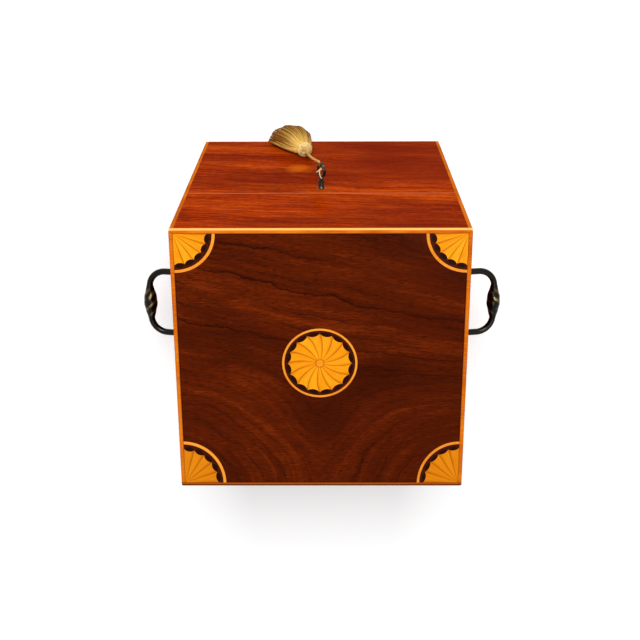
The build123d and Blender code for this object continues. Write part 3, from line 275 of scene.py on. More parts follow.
def silk_finish(name, light, shade, fibres, painted_end_shade=0.0, painted_start_shade=0.0):
    """Silk: fine fibres along each strand, strands of different depth of gold, dark hollows between.
    The last two arguments paint shade towards the far end of the strands and near their start;
    a negative value paints a highlight there instead."""
    material, point, (u, v, _) = start_finish(name, "UV")
    lay = noise(point, 1.0, 2.0, stretch=(fibres / 12, fibres, 1))
    patch = noise(point, 3.0, 2.0)
    # Painted shade along the strand, or a painted highlight where the amounts are negative.
    fade = u * painted_end_shade + (1 - ease(u, 0.06, 0.5)) * painted_start_shade
    share = ease(lay * 0.5 + patch * 0.25 + own_value(v.maths("FLOOR")) * 0.3 - fade, 0.3, 0.74)
    colour = blend_colours(share, shade, light)
    gloss = {"Specular_IOR_Level": 0.0, "Coat_Weight": 0.06, "Coat_Roughness": 0.25}
    return end_finish(material, colour, 0.28 + lay * 0.2, lay, 0.00012, **gloss)


cord_silk = silk_finish("gold_silk_cord", paint(232, 184, 104), paint(132, 84, 30), 26)
cord_line = route_line(CORD_ROUTE, 24)
strand_phases = np.arange(CORD_STRANDS) * 2 * np.pi / CORD_STRANDS
strand_lines = [
    twisted(cord_line, CORD_RADIUS * 0.52, CORD_PITCH, phase, CORD_SIDE)
    for phase in strand_phases
]
cord_strands = np.stack([tube(line, CORD_RADIUS * 0.5, 10, CORD_SIDE) for line in strand_lines])
tassel_cord = make_piece("tassel_cord_strands", [cord_strands], cord_silk, "tassel")
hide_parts("tassel_cord")


# Tassel: a turned wooden mould covered with laid silk, a binding round its neck, and a full skirt
# of loose silk that spreads as it lies against the keyhole face.
HEAD = np.array([16.6, -121.5, 66.8]) / 1000
TILT = np.radians(15)
HEAD_RADIUS = 0.0074
NECK_RADIUS = 0.0056
DOWN = np.array([np.sin(TILT), 0, -np.cos(TILT)])
ACROSS = np.array([np.cos(TILT), 0, np.sin(TILT)])
OUT = np.array([0.0, -1.0, 0.0])
SKIRT_PLACES = np.array([4.5, 10, 20, 36, 61]) / 1000
SKIRT_WIDTHS = np.array([5.6, 9.8, 13.2, 17.0, 21.6]) / 1000
SKIRT_TOPS = np.array([5.6, 8.4, 11.7, 13.2, 11.2]) / 1000
SKIRT_MIDDLES = np.array([0, -2.0, -3.5, -4.2, -4.6]) / 1000
SKIRT_LOWS = np.array([-5.6, -6.4, -6.9, -7.2, -7.3]) / 1000


def turned(start, axis, side, places, radii, sides, ribs=0, rib_depth=0.0, rib_twist=0.0):
    """A turned form: rings of the given radii at places along an axis. Ribs deepen the surface by
    1 - depth |sin(ribs t / 2 + twist s)|, with t round the axis and s the share of the way along."""
    other = np.cross(axis, side)
    turn = np.linspace(0, 2 * np.pi, sides, endpoint=False)
    share = np.linspace(0, 1, len(places))[:, None]
    cut = 1 - rib_depth * np.abs(np.sin(ribs * turn[None] / 2 + rib_twist * share))
    spoke = np.cos(turn)[:, None] * side + np.sin(turn)[:, None] * other
    centre = start + places[:, None] * axis
    return (centre[:, None] + (np.asarray(radii)[:, None] * cut)[..., None] * spoke)[None]


def ring_cord(centre, axis, side, radius, thickness):
    """A closed hoop of cord: a small circle carried round a large one."""
    other = np.cross(axis, side)
    turn = np.linspace(0, 2 * np.pi, 49)
    spoke = np.cos(turn)[:, None] * side + np.sin(turn)[:, None] * other
    small = np.linspace(0, 2 * np.pi, 8, endpoint=False)
    reach = (radius + thickness * np.cos(small))[None, :, None] * spoke[:, None]
    return (centre + reach - (thickness * np.sin(small))[None, :, None] * axis)[None]


head_angle = np.linspace(0.12, np.pi - np.arcsin(NECK_RADIUS / HEAD_RADIUS), 40)
head_places = -np.cos(head_angle) * HEAD_RADIUS
head_radii = np.sin(head_angle) * HEAD_RADIUS
head_surface = turned(
    HEAD, DOWN, ACROSS, head_places, head_radii, 144, ribs=24, rib_depth=0.07, rib_twist=2.6
)
# The head: painted shade round the cord's end and a painted highlight towards the neck.
head_silk = silk_finish(
    "gold_silk_head", paint(255, 218, 142), paint(84, 48, 8), 48, painted_end_shade=-0.12, painted_start_shade=0.08
)
neck_places = (0.0044, 0.0054, 0.0064)
neck_hoops = [ring_cord(HEAD + DOWN * place, DOWN, ACROSS, 0.0051, 0.00055) for place in neck_places]
top_hoop = ring_cord(HEAD - DOWN * 0.0069, DOWN, ACROSS, 0.0018, 0.0005)
head_grids = [head_surface, *neck_hoops, top_hoop]
tassel_head = make_piece("tassel_head_silk", head_grids, head_silk, "tassel")
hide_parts("tassel_head")


def skirt_curve(place, sizes):
    """A size along the skirt: the fourth-degree polynomial in the root of the place through five."""
    root = np.sqrt(SKIRT_PLACES)
    return np.polyval(np.polyfit(root, sizes, 4), np.sqrt(place))


def skirt_point(along, turn, depth):
    """A point in the skirt: two half ellipses of one width, a tall one above a middle line and a
    flat one below it on the face; depth shrinks the pair from the outside inwards."""
    place = SKIRT_PLACES[0] + along * (SKIRT_PLACES[-1] - SKIRT_PLACES[0])
    width = skirt_curve(place, SKIRT_WIDTHS)
    middle = skirt_curve(place, SKIRT_MIDDLES)
    above = skirt_curve(place, SKIRT_TOPS) - middle
    below = middle - skirt_curve(place, SKIRT_LOWS)
    tall = np.where(np.sin(turn) > 0, above, below)
    return (
        HEAD
        + place[..., None] * DOWN
        + (width * depth * np.cos(turn))[..., None] * ACROSS
        + (tall * depth * np.sin(turn) + middle)[..., None] * OUT
    )


def fold(turn, along):
    """How far nine soft folds press the skirt in and out, more towards its end."""
    return 0.02 * np.sin(9 * turn + 1.3) * along


rng = np.random.default_rng(7)
THREADS = 420
OUTER_SHARE = 0.6
FLARE = 0.05
thread_turn = np.linspace(0, 2 * np.pi, THREADS, endpoint=False) + rng.uniform(-0.01, 0.01, THREADS)
outer = rng.random(THREADS) < OUTER_SHARE
outer_depth = rng.uniform(0.945, 0.965, THREADS)
inner_depth = rng.uniform(0.8, 0.93, THREADS)
thread_depth = np.where(outer, outer_depth, inner_depth) - 0.02
thread_reach = rng.uniform(0.985, 1.02, THREADS)
along = np.linspace(0, 1, 15)[None] * thread_reach[:, None]
waves = along * rng.uniform(0.6, 1.6, THREADS)[:, None] + rng.random(THREADS)[:, None]
sway = 0.018 * np.sin(2 * np.pi * waves) * along
lean = rng.normal(0, 0.02, THREADS)[:, None] * along**2
folds = fold(thread_turn[:, None], along)
thread_lines = skirt_point(along, thread_turn[:, None] + sway + lean, thread_depth[:, None] + folds)
thread_radius = 0.00022 + 0.00020 * along
aside = ((thread_lines - HEAD) @ ACROSS)[..., None] * ACROSS
thread_lines += FLARE * (along**3)[..., None] * aside
threads = tube(thread_lines, thread_radius, 5, (0.31, 0.83, 0.46))
core_places = np.linspace(0, 0.955, 24)
core_turns = np.linspace(0, 2 * np.pi, 180, endpoint=False)
core_along, core_turn = np.meshgrid(core_places, core_turns, indexing="ij")
core = skirt_point(core_along, core_turn, 0.87 + fold(core_turn, core_along))[None]
# The skirt: a painted highlight by the neck and painted shade towards the ends of the threads.
skirt_silk = silk_finish(
    "gold_silk_skirt", paint(255, 212, 112), paint(128, 74, 8), 30, painted_end_shade=0.2, painted_start_shade=-0.07
)
make_piece("tassel_skirt_core", [core], skirt_silk, "tassel")
tassel_skirt = make_piece("tassel_skirt_threads", [threads], skirt_silk, "tassel")
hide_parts("tassel_skirt")


# Key: a small steel barrel key with an oval bow, a turned collar and a bell end. Pale silk is
# knotted through its bow, with two soiled turns over the rim and two short tails that have opened.
FACE_Y = -0.1137
KEY_Z = 0.1728
KNOT = np.array([0, FACE_Y - 0.01765, KEY_Z])
ACROSS_BOW = np.array([-0.5, 0, np.sqrt(0.75)])
THROUGH_BOW = np.array([np.sqrt(0.75), 0, 0.5])


def knot_line(size, steps):
    """A trefoil: (sin t + 2 sin 2t, cos t - 2 cos 2t, -sin 3t), closed on itself."""
    t = np.linspace(0, 2 * np.pi, steps)
    t = t[:, None]
    across = (np.sin(t) + 2 * np.sin(2 * t)) * ACROSS_BOW
    out = (np.cos(t) - 2 * np.cos(2 * t)) * OUT
    return size * (across + out - np.sin(3 * t) * THROUGH_BOW)


def tail_line(points, steps):
    """A tail's centreline through a start, a middle and an end: a quadratic in the distance along."""
    t = np.linspace(0, 1, steps)[:, None]
    start, middle, end = np.asarray(points, float) / 1000
    return KNOT + start * (1 - t) * (1 - 2 * t) + middle * 4 * t * (1 - t) + end * t * (2 * t - 1)


TURN_SHIFT = 0.00055
rim_centre = np.array([0, FACE_Y - 0.02045, KEY_Z])
turns = [
    ring_cord(rim_centre + ACROSS_BOW * shift, ACROSS_BOW, OUT, 0.0019, 0.00052)
    for shift in (-TURN_SHIFT, TURN_SHIFT)
]
tails = [
    tail_line(((0, 0, 0), (1.6, 1.2, 1.2), (4.2, 3.2, 1.6)), 20),
    tail_line(((0, 0, 0), (1.6, 3.6, 2.2), (-0.4, 8.0, 4.5)), 20),
]
TAIL_RADIUS = 0.00030
TAIL_PITCH = 0.004
TAIL_SIDE = (0.2, 0.3, 0.9)
tail_strands = [
    tube(twisted(line, TAIL_RADIUS, TAIL_PITCH, phase, TAIL_SIDE), TAIL_RADIUS, 8, TAIL_SIDE)[None]
    for line in tails
    for phase in (0, np.pi)
]
KNOT_SIZE = 0.00042
knot = tube(KNOT + knot_line(KNOT_SIZE, 90), KNOT_SIZE, 8, (0.13, 0.9, 0.4))[None]
knot_silk = silk_finish("pale_silk_knot", paint(252, 226, 172), paint(150, 104, 52), 20)
key_knot = make_piece("key_bow_knot", [*tail_strands, knot], knot_silk, "key")
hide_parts("key_cord_loop")
handled_silk = silk_finish("handled_silk_turns", paint(118, 84, 50), paint(44, 28, 16), 20)
make_piece("key_bow_turns", turns, handled_silk, "key")


def dress(material, *nodes):
    """Gives CAD nodes their finish."""
    for node in nodes:
        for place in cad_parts[node].material_slots:
            place.material = material


def worn_metal(name, bright, dull, rubbed, rough):
    """Handled metal: dull in patches, brighter where it has been rubbed, with fine scratches."""
    material, point, _ = start_finish(name)
    patch = noise(point, 140.0, 4.0, 0.6)
    scratch = noise(point, 900.0, 2.0, 0.7, (1, 6, 1))
    share = ease(patch * 0.8 + scratch * 0.2, rubbed - 0.14, rubbed + 0.14)
    colour = blend_colours(share, dull, bright)
    roughness = rough + (1 - share) * 0.22 + scratch * 0.08
    return end_finish(material, colour, roughness, scratch, 0.00003, Metallic=1.0)


key_steel = worn_metal("key_steel", paint(112, 102, 92), paint(30, 25, 21), 0.54, 0.2)
dress(key_steel, "key", "lock_pin", "lock_spring", "left_hinge_pin", "right_hinge_pin")


# Case and lid walls: mitred boards faced with mahogany, its grain level, French polished to a warm
# red that is paler and redder on the front than on the lid's top.
SEAM_HEIGHT = 0.1888
OUTER_X, OUTER_Y = 0.1172, 0.1129
HIGHLIGHT_X, HIGHLIGHT_Z = 0.021, 0.108
VEIN_SPACING = 0.0145
POLISH = {"Specular_IOR_Level": 0.0, "Coat_Weight": 0.015, "Coat_Roughness": 0.12}


def growth_lines(growth, run, seed, along_scale):
    """A point whose noise makes lines: it moves fast across the growth and slowly along the run."""
    return growth.node("ShaderNodeCombineXYZ", sockets={"X": growth, "Y": run * along_scale, "Z": seed})


def veins(point, growth, seed):
    """How dark the veins are: one thin wavering line in each step of the growth, at its own place in
    the step and of its own strength, with a soft shade along one side of it."""
    waver = noise(point, 34.0, 4.0, 0.6) * 0.016
    count = (growth + waver + seed) / VEIN_SPACING
    number = count.maths("FLOOR")
    away = (count - number - own_value(number) * 0.4 - 0.3) * VEIN_SPACING
    show = ease(own_value(number + 0.37) * 0.6 + noise(point, 16.0, 2.0, 0.5), 0.64, 0.92)
    thin = 1 - ease(away.maths("ABSOLUTE"), 0.0002, 0.0010)
    shade = ease(away, -0.0012, 0.0) * (1 - ease(away, 0.0, 0.0045))
    return thin * show, shade * show


def polished_wood(point, growth, run, along, tones, seed, contrast, veined):
    """Figured wood from a growth coordinate: bands, fine lines, fibres, patches and short flecks give
    the tone. Slow dark bands, thin veins and pores lie over it."""
    pale, middle, deep, dark = tones
    across_scale = [13.0, 13.0, 13.0]
    across_scale[along] = 1.0
    broad = noise(growth_lines(growth, run, seed, 0.10), 36.0, 2.0, 0.5)
    lines = noise(growth_lines(growth, run, seed + 3.7, 0.05), 260.0, 3.0, 0.6)
    fibres = noise(point, 66.0, 3.0, 0.78, tuple(across_scale))
    patch = noise(point, 11.0, 3.0, 0.55, tuple(scale / 6.5 + 0.8 for scale in across_scale))
    flecks = noise(point, 200.0, 2.0, 0.6, tuple(scale / 2 + 0.5 for scale in across_scale))
    tone = broad * 0.22 + lines * 0.24 + fibres * 0.20 + patch * 0.16 + flecks * 0.18
    colour = blend_colours(ease(tone, 0.5 - contrast, 0.5), deep, middle)
    colour = blend_colours(ease(tone, 0.5, 0.5 + contrast), colour, pale)
    smoke = noise(growth_lines(growth, run, seed + 6.4, 0.35), 17.0, 3.0, 0.55)
    colour = blend_colours(ease(smoke, 0.49, 0.64) * 0.6, colour, deep)
    thin, shade = veins(point, growth, seed)
    colour = blend_colours(shade * 0.5 * veined, colour, deep)
    colour = blend_colours(thin * 0.7 * veined, colour, dark)
    pores = noise(point, 150.0, 1.0, 0.5, tuple(across_scale))
    colour = blend_colours(ease(0.43 - pores, 0.0, 0.07) * 0.5, colour, dark)
    return colour, 0.32 + fibres * 0.16, fibres * 0.6 + pores * 0.4


def mahogany(
    name, along, across, tones, seed, slope=0.0, contrast=0.13, veined=0.4, seam_highlight=True, front=False
):
    """Polished mahogany whose growth runs level but for its slope and a slow bend. The outer faces
    show a painted highlight along the seam. The front is dim to one side and has a painted
    highlight, a pale warm patch, beside the tassel."""
    material, point, axes = start_finish(name)
    run, rise = axes[along], axes[across]
    bend = noise(point, 7.0, 2.0, 0.5) * 0.035 + noise(point, 26.0, 3.0, 0.55) * 0.004
    growth = rise + run * slope + bend
    colour, rough, grain = polished_wood(point, growth, run, along, tones, seed, contrast, veined)
    if front:
        dim = ease(0.04 - run, 0.0, 0.1) * ease(0.175 - rise, 0.0, 0.05)
        colour = blend_colours(dim * 0.55, colour, tones[2])
        # Painted highlight: a pale warm patch on the front beside the tassel.
        aside, above = run - HIGHLIGHT_X, rise - HIGHLIGHT_Z
        away = (aside * aside + above * above * 0.6).maths("SQRT")
        away = away + noise(point, 90.0, 2.0, 0.6) * 0.014
        colour = blend_colours(ease(0.023 - away, 0.0, 0.015) * grain, colour, paint(222, 112, 26))
    if seam_highlight:
        # Painted highlight: a pale line along the seam, on the outer faces only.
        line = 1 - ease((rise - SEAM_HEIGHT).maths("ABSOLUTE"), 0.0004, 0.0010)
        past_x = axes[0].maths("ABSOLUTE") - OUTER_X
        past_y = axes[1].maths("ABSOLUTE") - OUTER_Y
        outside = ease(past_x.maths("MAXIMUM", past_y), 0.0, 0.0004)
        colour = blend_colours(line * outside * 0.8, colour, paint(200, 112, 70))
    return end_finish(material, colour, rough, grain, 0.00005, **POLISH)


wall_tones = paint(194, 76, 7), paint(162, 50, 3), paint(116, 27, 1), paint(66, 12, 1)
front_wood = mahogany(
    "mahogany_front", 0, 2, wall_tones, 3.1, slope=0.14, contrast=0.07, veined=0.7, front=True
)
dress(front_wood, "case_front", "lid_front")
dress(mahogany("mahogany_back", 0, 2, wall_tones, 7.7, slope=0.05), "case_back", "lid_back")
side_wood = mahogany("mahogany_side", 1, 2, wall_tones, 5.3)
dress(side_wood, "case_left", "case_right", "lid_left", "lid_right")
bare_tones = paint(176, 106, 60), paint(144, 80, 42), paint(112, 58, 30), paint(72, 34, 16)
bare_wood = mahogany("carcase_wood", 0, 1, bare_tones, 9.1, seam_highlight=False)
dress(bare_wood, "case_bottom", "lid_top", "long_divider", "cross_divider")


# Lid veneer: one leaf of dark figured mahogany. Its streaks slope across the front half and bend
# round both back corners behind it, as they do beside a crotch.
CORNER_X, CORNER_Y = 0.1146, 0.1103
CROTCH_X, CROTCH_Y = 0.128, 0.122
RIM = 0.0012


def flame(name, tones, seed):
    """Wood whose growth, behind the middle, turns into the distance from the nearer back corner,
    with fainter veins there."""
    material, point, (run, rise, _) = start_finish(name)
    turn = ease(rise, -0.08, 0.065)
    from_middle = ((run - 0.004) * (run - 0.004) + 0.0001).maths("SQRT")
    inward = (CROTCH_X - from_middle) * 0.86 * turn
    fall = CROTCH_Y - rise
    bend = noise(point, 6.0, 2.0, 0.5) * 0.034 + noise(point, 24.0, 3.0, 0.55) * 0.006
    growth = (inward * inward + fall * fall).maths("SQRT")
    growth = growth - run * 0.25 * (1 - turn * 0.9) + bend * (1 - turn * 0.4)
    colour, rough, grain = polished_wood(point, growth, run, 0, tones, seed, 0.11, 1 - turn * 0.6)
    colour = blend_colours(ease(0.06 - run, 0.0, 0.15) * 0.3, colour, tones[2])
    past_x = run.maths("ABSOLUTE") - (CORNER_X - RIM)
    past_y = rise.maths("ABSOLUTE") - (CORNER_Y - RIM)
    colour = blend_colours(ease(past_x.maths("MAXIMUM", past_y), 0.0, 0.0010) * 0.6, colour, tones[3])
    return end_finish(material, colour, rough, grain, 0.00005, **POLISH)


flame_tones = paint(112, 38, 6), paint(79, 23, 3), paint(49, 12, 3), paint(22, 6, 3)
dress(flame("flame_veneer", flame_tones, 1.7), "lid_veneer")


# Boxwood strings: square strips of pale yellow wood let into every upright corner and all round the
# lid's top edge, rounded over and darkened by polish in places, with a painted highlight along the
# lid's front edge and painted shade along its back.
def boxwood(name, grain_axis, pale, deep, rubbed=False):
    """Close straight-grained wood: faint fibres along the strip and slow patches of deeper colour.
    The lid's strings have dark joints along their inner edges and mitres, a painted highlight at the
    front corners and along the front edge, and painted shade along the back, darkest at the back arris."""
    material, point, axes = start_finish(name)
    stretch = [18.0, 18.0, 18.0]
    stretch[grain_axis] = 1.0
    fibres = noise(point, 60.0, 3.0, 0.6, tuple(stretch))
    patch = noise(point, 22.0, 3.0, 0.55)
    colour = blend_colours(ease(fibres * 0.45 + patch * 0.6, 0.36, 0.66), deep, pale)
    if rubbed:
        side = axes[1]
        past_x = axes[0].maths("ABSOLUTE") - CORNER_X
        past_y = side.maths("ABSOLUTE") - CORNER_Y
        joint = 1 - ease(past_x.maths("MAXIMUM", past_y), 0.0001, 0.0007)
        mitre = 1 - ease((past_x - past_y).maths("ABSOLUTE"), 0.0001, 0.0005)
        colour = blend_colours(joint.maths("MAXIMUM", mitre) * 0.7, colour, paint(96, 38, 8))
        # Painted highlight: small pale marks at the lid's two front corners.
        corner_highlight = ease(past_x, 0.0019, 0.0027) * ease(0 - side, 0.1121, 0.1129)
        colour = blend_colours(corner_highlight * 0.7, colour, paint(250, 216, 164))
        # Painted highlight along the front edge of the lid's strings.
        edge = ease(-0.1131 - side, -0.0003, 0.0003)
        colour = blend_colours(edge * 0.9, colour, paint(250, 190, 100))
        # Painted shade along the back strings, and a painted shadow line at the back arris.
        colour = blend_colours(ease(side, 0.1094, 0.1104) * 0.8, colour, paint(136, 60, 14))
        colour = blend_colours(ease(side, 0.1116, 0.1124) * 0.9, colour, paint(60, 22, 8))
    return end_finish(material, colour, 0.3 + fibres * 0.12, fibres, 0.00004, **POLISH)


string_tones = paint(208, 112, 22), paint(170, 76, 6)
dress(boxwood("boxwood_upright", 2, *string_tones), "case_corner_strings", "lid_corner_strings")
dress(boxwood("boxwood_top", 0, *string_tones, rubbed=True), "lid_top_strings")
ring_tones = paint(230, 146, 50), paint(198, 108, 22)
dress(boxwood("boxwood_rings", 2, *ring_tones), "patera_ring", "fan_rings")


# Patera and fans: satinwood petals sawn to shape, each shaded in hot sand along one edge, set in a
# dark ground with black crescents between the petals' points and the ring.
PATERA_ACROSS = 0.001
PATERA_TIP = 0.026
PATERA_ROOT = 0.003
PATERA_STEP = np.radians(22.5)
PATERA_LEAN = np.radians(15)
FAN_STEP = np.radians(18)
FAN_TIP = 0.0266
FAN_SPREAD = 1.0093
BACK_FAN_LESS = 0.125
BACK_FAN_TIP_MORE = 0.0018


def petal_places(name, form):
    """The share t of the way across a petal and the distance r from its centre. The patera's sides
    lean back by the lean times (1 - q)^0.69, with q from 0 at the root to 1 at the tip. The fans
    spread from the lid's corners, and the back pair is shallower."""
    material, point, (x, y, _) = start_finish(name)
    back = y > 0
    if form == "patera":
        x = x - PATERA_ACROSS
        radius = (x * x + y * y).maths("SQRT")
        reach = ((PATERA_TIP - radius) / (PATERA_TIP - PATERA_ROOT)).maths("MAXIMUM", 0.0001)
        angle = y.maths("ARCTAN2", x) + reach**0.69 * PATERA_LEAN
        step = PATERA_STEP
    else:
        inward = CORNER_X - x.maths("ABSOLUTE")
        upward = (CORNER_Y - y.maths("ABSOLUTE")) * (FAN_SPREAD - back * BACK_FAN_LESS)
        radius = (inward * inward + upward * upward).maths("SQRT")
        angle = upward.maths("ARCTAN2", inward)
        step = FAN_STEP
    count = angle / step + 40
    number = count.maths("FLOOR")
    return material, point, count - number, number, radius, angle, back


def petal_wood(name, form):
    """Satinwood: pale, with fibres that fan from the root, a scorched edge and petals of slightly
    different colour."""
    material, point, share, number, radius, angle, back = petal_places(name, form)
    polar = {"X": angle * 3.0, "Y": radius * 6.0, "Z": number}
    spot = point.node("ShaderNodeCombineXYZ", sockets=polar)
    fibres = noise(spot, 16.0, 3.0, 0.6)
    tone = ease(fibres * 0.85 + own_value(number) * 0.15, 0.25, 0.7)
    colour = blend_colours(tone, paint(208, 116, 6), paint(240, 156, 26))
    scorch_and_shade = ease(0.42 - share, 0.0, 0.42) ** 1.4 * 0.55 + ease(share - 0.94, 0.0, 0.06) * 0.3
    scorch_and_shade = scorch_and_shade + ease(0.1 - share, 0.0, 0.1) * 0.25
    if form == "patera":
        # Painted shade round the boss, on the patera's petals.
        scorch_and_shade = scorch_and_shade + ease(0.0046 - radius, 0.0, 0.0012) * 0.4
    else:
        colour = blend_colours(back * 0.6, colour, paint(186, 100, 10))
    colour = blend_colours(scorch_and_shade.maths("MINIMUM", 1.0), colour, paint(142, 66, 4))
    return end_finish(material, colour, 0.3 + fibres * 0.1, fibres, 0.00003, **POLISH)


def ground_wood(name, form, tip, swell):
    """Dark ground, with a black crescent outside each petal that bulges by swell over the tips."""
    material, point, share, _, radius, _, back = petal_places(name, form)
    edge = tip + back * (BACK_FAN_TIP_MORE if form == "fan" else 0.0)
    bulge = (share * np.pi).maths("SINE").maths("MAXIMUM", 0.0)
    crescent = ease(edge + bulge * swell - radius, -0.0002, 0.0004)
    fibres = noise(point, 300.0, 3.0, 0.6, (1, 8, 1))
    brown = blend_colours(ease(fibres, 0.3, 0.7), paint(50, 14, 4), paint(70, 24, 8))
    colour = blend_colours(crescent, brown, paint(36, 12, 8))
    return end_finish(material, colour, 0.36, fibres, 0.00003, **POLISH)


dress(petal_wood("satinwood_patera", "patera"), "patera_petals")
dress(petal_wood("satinwood_fans", "fan"), "fan_petals")
dress(ground_wood("ebony_patera", "patera", PATERA_TIP, 0.0013), "patera_ground")
dress(ground_wood("ebony_fans", "fan", FAN_TIP, 0.0022), "fan_grounds")
dress(boxwood("satinwood_boss", 0, paint(238, 150, 40), paint(214, 122, 18)), "patera_boss")


# Lock, link plate, escutcheon, butt hinges and handle nuts: cast and filed brass, rubbed bright in
# patches. All but the knuckles and the escutcheon show only when the lid is up.
brass = worn_metal("brass_fittings", paint(206, 158, 78), paint(128, 88, 36), 0.46, 0.3)
dress(
    brass,
    "lock_plate",
    "lock_screws",
    "lock_cap",
    "lock_bolt",
    "keyhole_escutcheon",
    "link_plate",
    "link_plate_screws",
    "left_hinge_case_leaf",
    "right_hinge_case_leaf",
    "left_hinge_lid_leaf",
    "right_hinge_lid_leaf",
    "case_hinge_screws",
    "lid_hinge_screws",
    "left_bail_nuts",
    "right_bail_nuts",
)


# Carrying handles: bronzed drop bails with a grip that swells in the middle and has soft lobes
# winding round it, hung by short pins in a pair of turned posts on round plates.
PIVOT = np.array([0.1262, 0, 0.1576])
DROOP = np.radians(9)
ARM = 0.032095
HALF_SPAN = 0.030
CORNER = 0.015
ROD_RADIUS = 0.0029
GRIP_LENGTH = 0.034
GRIP_SWELL = 0.0034
LOBES = 4
LOBE_DEPTH = 0.05
LOBE_TWIST = 700.0
BAIL_OUT = np.array([np.cos(DROOP), 0, -np.sin(DROOP)])
BAIL_ABOVE = np.array([np.sin(DROOP), 0, np.cos(DROOP)])
ALONG_Y = np.array([0.0, 1.0, 0.0])
GRIP_MIDDLE = PIVOT + ARM * BAIL_OUT


def bail_line():
    """The rod's centreline: out along one arm, round a quarter circle, across, round and back."""
    arm = np.linspace(0, ARM - CORNER, 20)[:-1]
    bend = np.linspace(0, np.pi / 2, 16)
    near = np.stack([arm, np.full(arm.shape, HALF_SPAN)], axis=1)
    curve = CORNER * np.stack([np.sin(bend), np.cos(bend)], axis=1)
    first = curve + [ARM - CORNER, HALF_SPAN - CORNER]
    across = np.linspace(HALF_SPAN - CORNER, -(HALF_SPAN - CORNER), 120)[1:-1]
    middle = np.stack([np.full(across.shape, ARM), across], axis=1)
    flat = np.concatenate([near, first, middle, first[::-1] * [1, -1], near[::-1] * [1, -1]])
    return PIVOT + flat[:, :1] * BAIL_OUT + flat[:, 1:] * ALONG_Y, flat


def bail_surface():
    """The rod swept along its line. Its radius swells as a power of a cosine over the grip, where
    four soft lobes wind round it."""
    line, flat = bail_line()
    place = np.where(flat[:, 0] > ARM - 1e-6, flat[:, 1], np.sign(flat[:, 1]))
    from_middle = np.abs(place) / (GRIP_LENGTH / 2)
    swell = np.where(from_middle < 1, np.cos(np.clip(from_middle, 0, 1) * np.pi / 2) ** 1.3, 0)
    radius = ROD_RADIUS + GRIP_SWELL * swell
    sides = 72
    turn = np.linspace(0, 2 * np.pi, sides, endpoint=False)
    lobes = 0.5 + 0.5 * np.cos(LOBES * turn[None] + place[:, None] * LOBE_TWIST)
    radius = radius[:, None] * (1 - LOBE_DEPTH * lobes * np.minimum(swell * 2, 1)[:, None])
    return tube(line, radius, sides, BAIL_ABOVE)[None]


def bail_eyes():
    """The rod's rolled ends, as turned forms along the pivots' line, each with its pin."""
    places = np.array([-3.3, -3.25, -2.9, -2.0, 0, 2.0, 2.9, 3.2, 3.25, 7.5, 11.2, 11.6]) / 1000
    radii = np.array([0.4, 1.7, 2.8, 3.3, 3.38, 3.3, 2.8, 2.0, 1.6, 1.6, 1.6, 1.1]) / 1000
    return [
        turned(PIVOT + ALONG_Y * end * HALF_SPAN, ALONG_Y * -end, BAIL_OUT, places, radii, 40)
        for end in (-1, 1)
    ]


def bronzed(name):
    """Near-black bronzed metal, smooth from handling, with gold on the crests of the grip's lobes,
    partly rubbed through to brass and partly painted highlight.
    """
    material, point, axes = start_finish(name)
    patch = noise(point, 150.0, 3.0, 0.5)
    fine = noise(point, 1500.0, 2.0, 0.6)
    beyond = axes[0].maths("ABSOLUTE") - GRIP_MIDDLE[0]
    higher = axes[2] - GRIP_MIDDLE[2]
    outward = beyond * BAIL_OUT[0] + higher * BAIL_OUT[2]
    upward = beyond * BAIL_ABOVE[0] + higher * BAIL_ABOVE[2]
    wave = (upward.maths("ARCTAN2", outward) * LOBES + axes[1] * LOBE_TWIST).maths("COSINE")
    grip = 1 - ease(axes[1].maths("ABSOLUTE"), 0.007, 0.015)
    # Gold on the lobes' crests: partly rubbed-through brass, partly painted highlight.
    share = ease(0 - wave, -0.3, 1.0) * ease(patch, 0.42, 0.6) * grip
    colour = blend_colours(share, paint(26, 23, 18), paint(140, 120, 76))
    relief = patch * 0.5 + fine * 0.5
    gloss = {"Metallic": 1.0, "Coat_Weight": 0.15, "Coat_Roughness": 0.2}
    return end_finish(material, colour, 0.24 + fine * 0.1, relief, 0.00002, **gloss)


bail_bronze = bronzed("bronzed_bail")
mirror_x = np.array([-1.0, 1.0, 1.0])
for side, flip in (("right", False), ("left", True)):
    grids = [bail_surface(), *bail_eyes()]
    if flip:
        grids = [(grid * mirror_x)[:, :, ::-1] for grid in grids]
    bail = make_piece(f"{side}_bail_reeded", grids, bail_bronze, f"{side}_bail")
    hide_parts(f"{side}_bail")
    dress(bail_bronze, f"{side}_bail_posts")


# Linings and base: green woollen baize glued inside the case and lid and under the base.
def baize(name, pale, deep):
    """Napped wool: a felted tangle of fibres, with worn patches and a soft sheen."""
    material, point, _ = start_finish(name)
    nap = noise(point, 1400.0, 3.0, 0.7)
    patch = noise(point, 30.0, 3.0, 0.5)
    colour = blend_colours(ease(nap * 0.7 + patch * 0.3, 0.35, 0.65), deep, pale)
    sheen = {"Sheen_Weight": 0.12, "Sheen_Roughness": 0.5, "Specular_IOR_Level": 0.0}
    return end_finish(material, colour, 0.95, nap, 0.0003, **sheen)


green_baize = baize("green_baize", paint(46, 84, 52), paint(22, 50, 30))
dress(green_baize, "base_baize", "case_lining", "lid_lining")


# Floor and light: a wide pale floor, one large soft lamp in front of the keyhole face and a weaker
# one over the lid, in a plain bright room.
def seen_rays(blank):
    """1 for a ray that shows the background, straight or by a reflection or through glass, else 0."""
    straight = blank.node("ShaderNodeLightPath", output="Is Camera Ray")
    glossy = blank.node("ShaderNodeLightPath", output="Is Glossy Ray")
    through = blank.node("ShaderNodeLightPath", output="Is Transmission Ray")
    return (straight + glossy + through).maths("MINIMUM", 1.0)


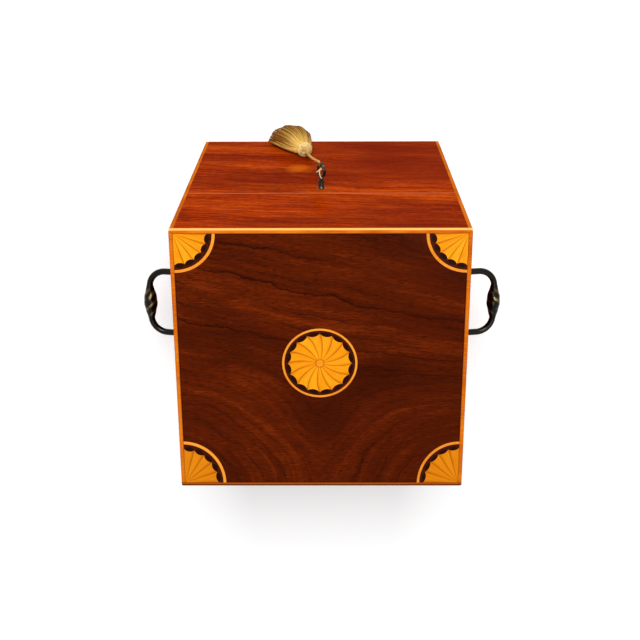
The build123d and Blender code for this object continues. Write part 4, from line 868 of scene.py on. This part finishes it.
def plain_floor():
    """White diffuse ground that the camera sees as white where no shadow falls."""
    material, _, _ = start_finish("floor")
    blank = Tint(material.node_tree)
    cloth = blank.node("ShaderNodeBsdfDiffuse", sockets={"Color": (0.86, 0.86, 0.86, 1)})
    seen = seen_rays(blank)
    glow = blank.node("ShaderNodeEmission", sockets={"Color": (1, 1, 1, 1), "Strength": 0.235})
    both = blank.node("ShaderNodeAddShader", sockets={0: cloth, 1: glow})
    shown = blank.node("ShaderNodeMixShader", sockets={0: seen, 1: cloth, 2: both})
    blank.node("ShaderNodeOutputMaterial", sockets={"Surface": shown})
    return material


FLOOR_HALF = 4
FLOOR_TURN = ((-1, -1), (1, -1), (1, 1), (-1, 1))
floor_mesh = bpy.data.meshes.new("floor")
floor_corners = [(x * FLOOR_HALF, y * FLOOR_HALF, 0) for x, y in FLOOR_TURN]
floor_mesh.from_pydata(floor_corners, [], [(0, 1, 2, 3)])
floor_mesh.materials.append(plain_floor())
floor = bpy.data.objects.new("floor", floor_mesh)
scene.collection.objects.link(floor)

world = bpy.data.worlds.new("room")
world.use_nodes = True
world.node_tree.nodes.clear()
room = Tint(world.node_tree)
ROOM_LIGHT = 0.34
strength = seen_rays(room) * (1 - ROOM_LIGHT) + ROOM_LIGHT
back = room.node("ShaderNodeBackground", sockets={"Color": (1, 1, 1, 1), "Strength": strength})
room.node("ShaderNodeOutputWorld", sockets={"Surface": back})
scene.world = world


def soft_lamp(name, place, target, size, power):
    """A square area lamp of so many watts at place, turned to face target."""
    lamp = bpy.data.objects.new(name, bpy.data.lights.new(name, "AREA"))
    lamp.data.size = size
    lamp.data.energy = power
    back = unit(np.array(place, float) - np.array(target, float))
    side = unit(np.cross((0, 0, 1), back))
    top = np.cross(back, side)
    rows = [(side[i], top[i], back[i], place[i]) for i in range(3)]
    lamp.matrix_world = Matrix([*rows, (0, 0, 0, 1)])
    scene.collection.objects.link(lamp)


soft_lamp("front_lamp", place=(0.0, -1.1, 1.85), target=(0, 0, 0.12), size=0.7, power=40)
soft_lamp("top_lamp", place=(-0.5, 0.3, 2.3), target=(0, 0, 0.2), size=0.7, power=10)
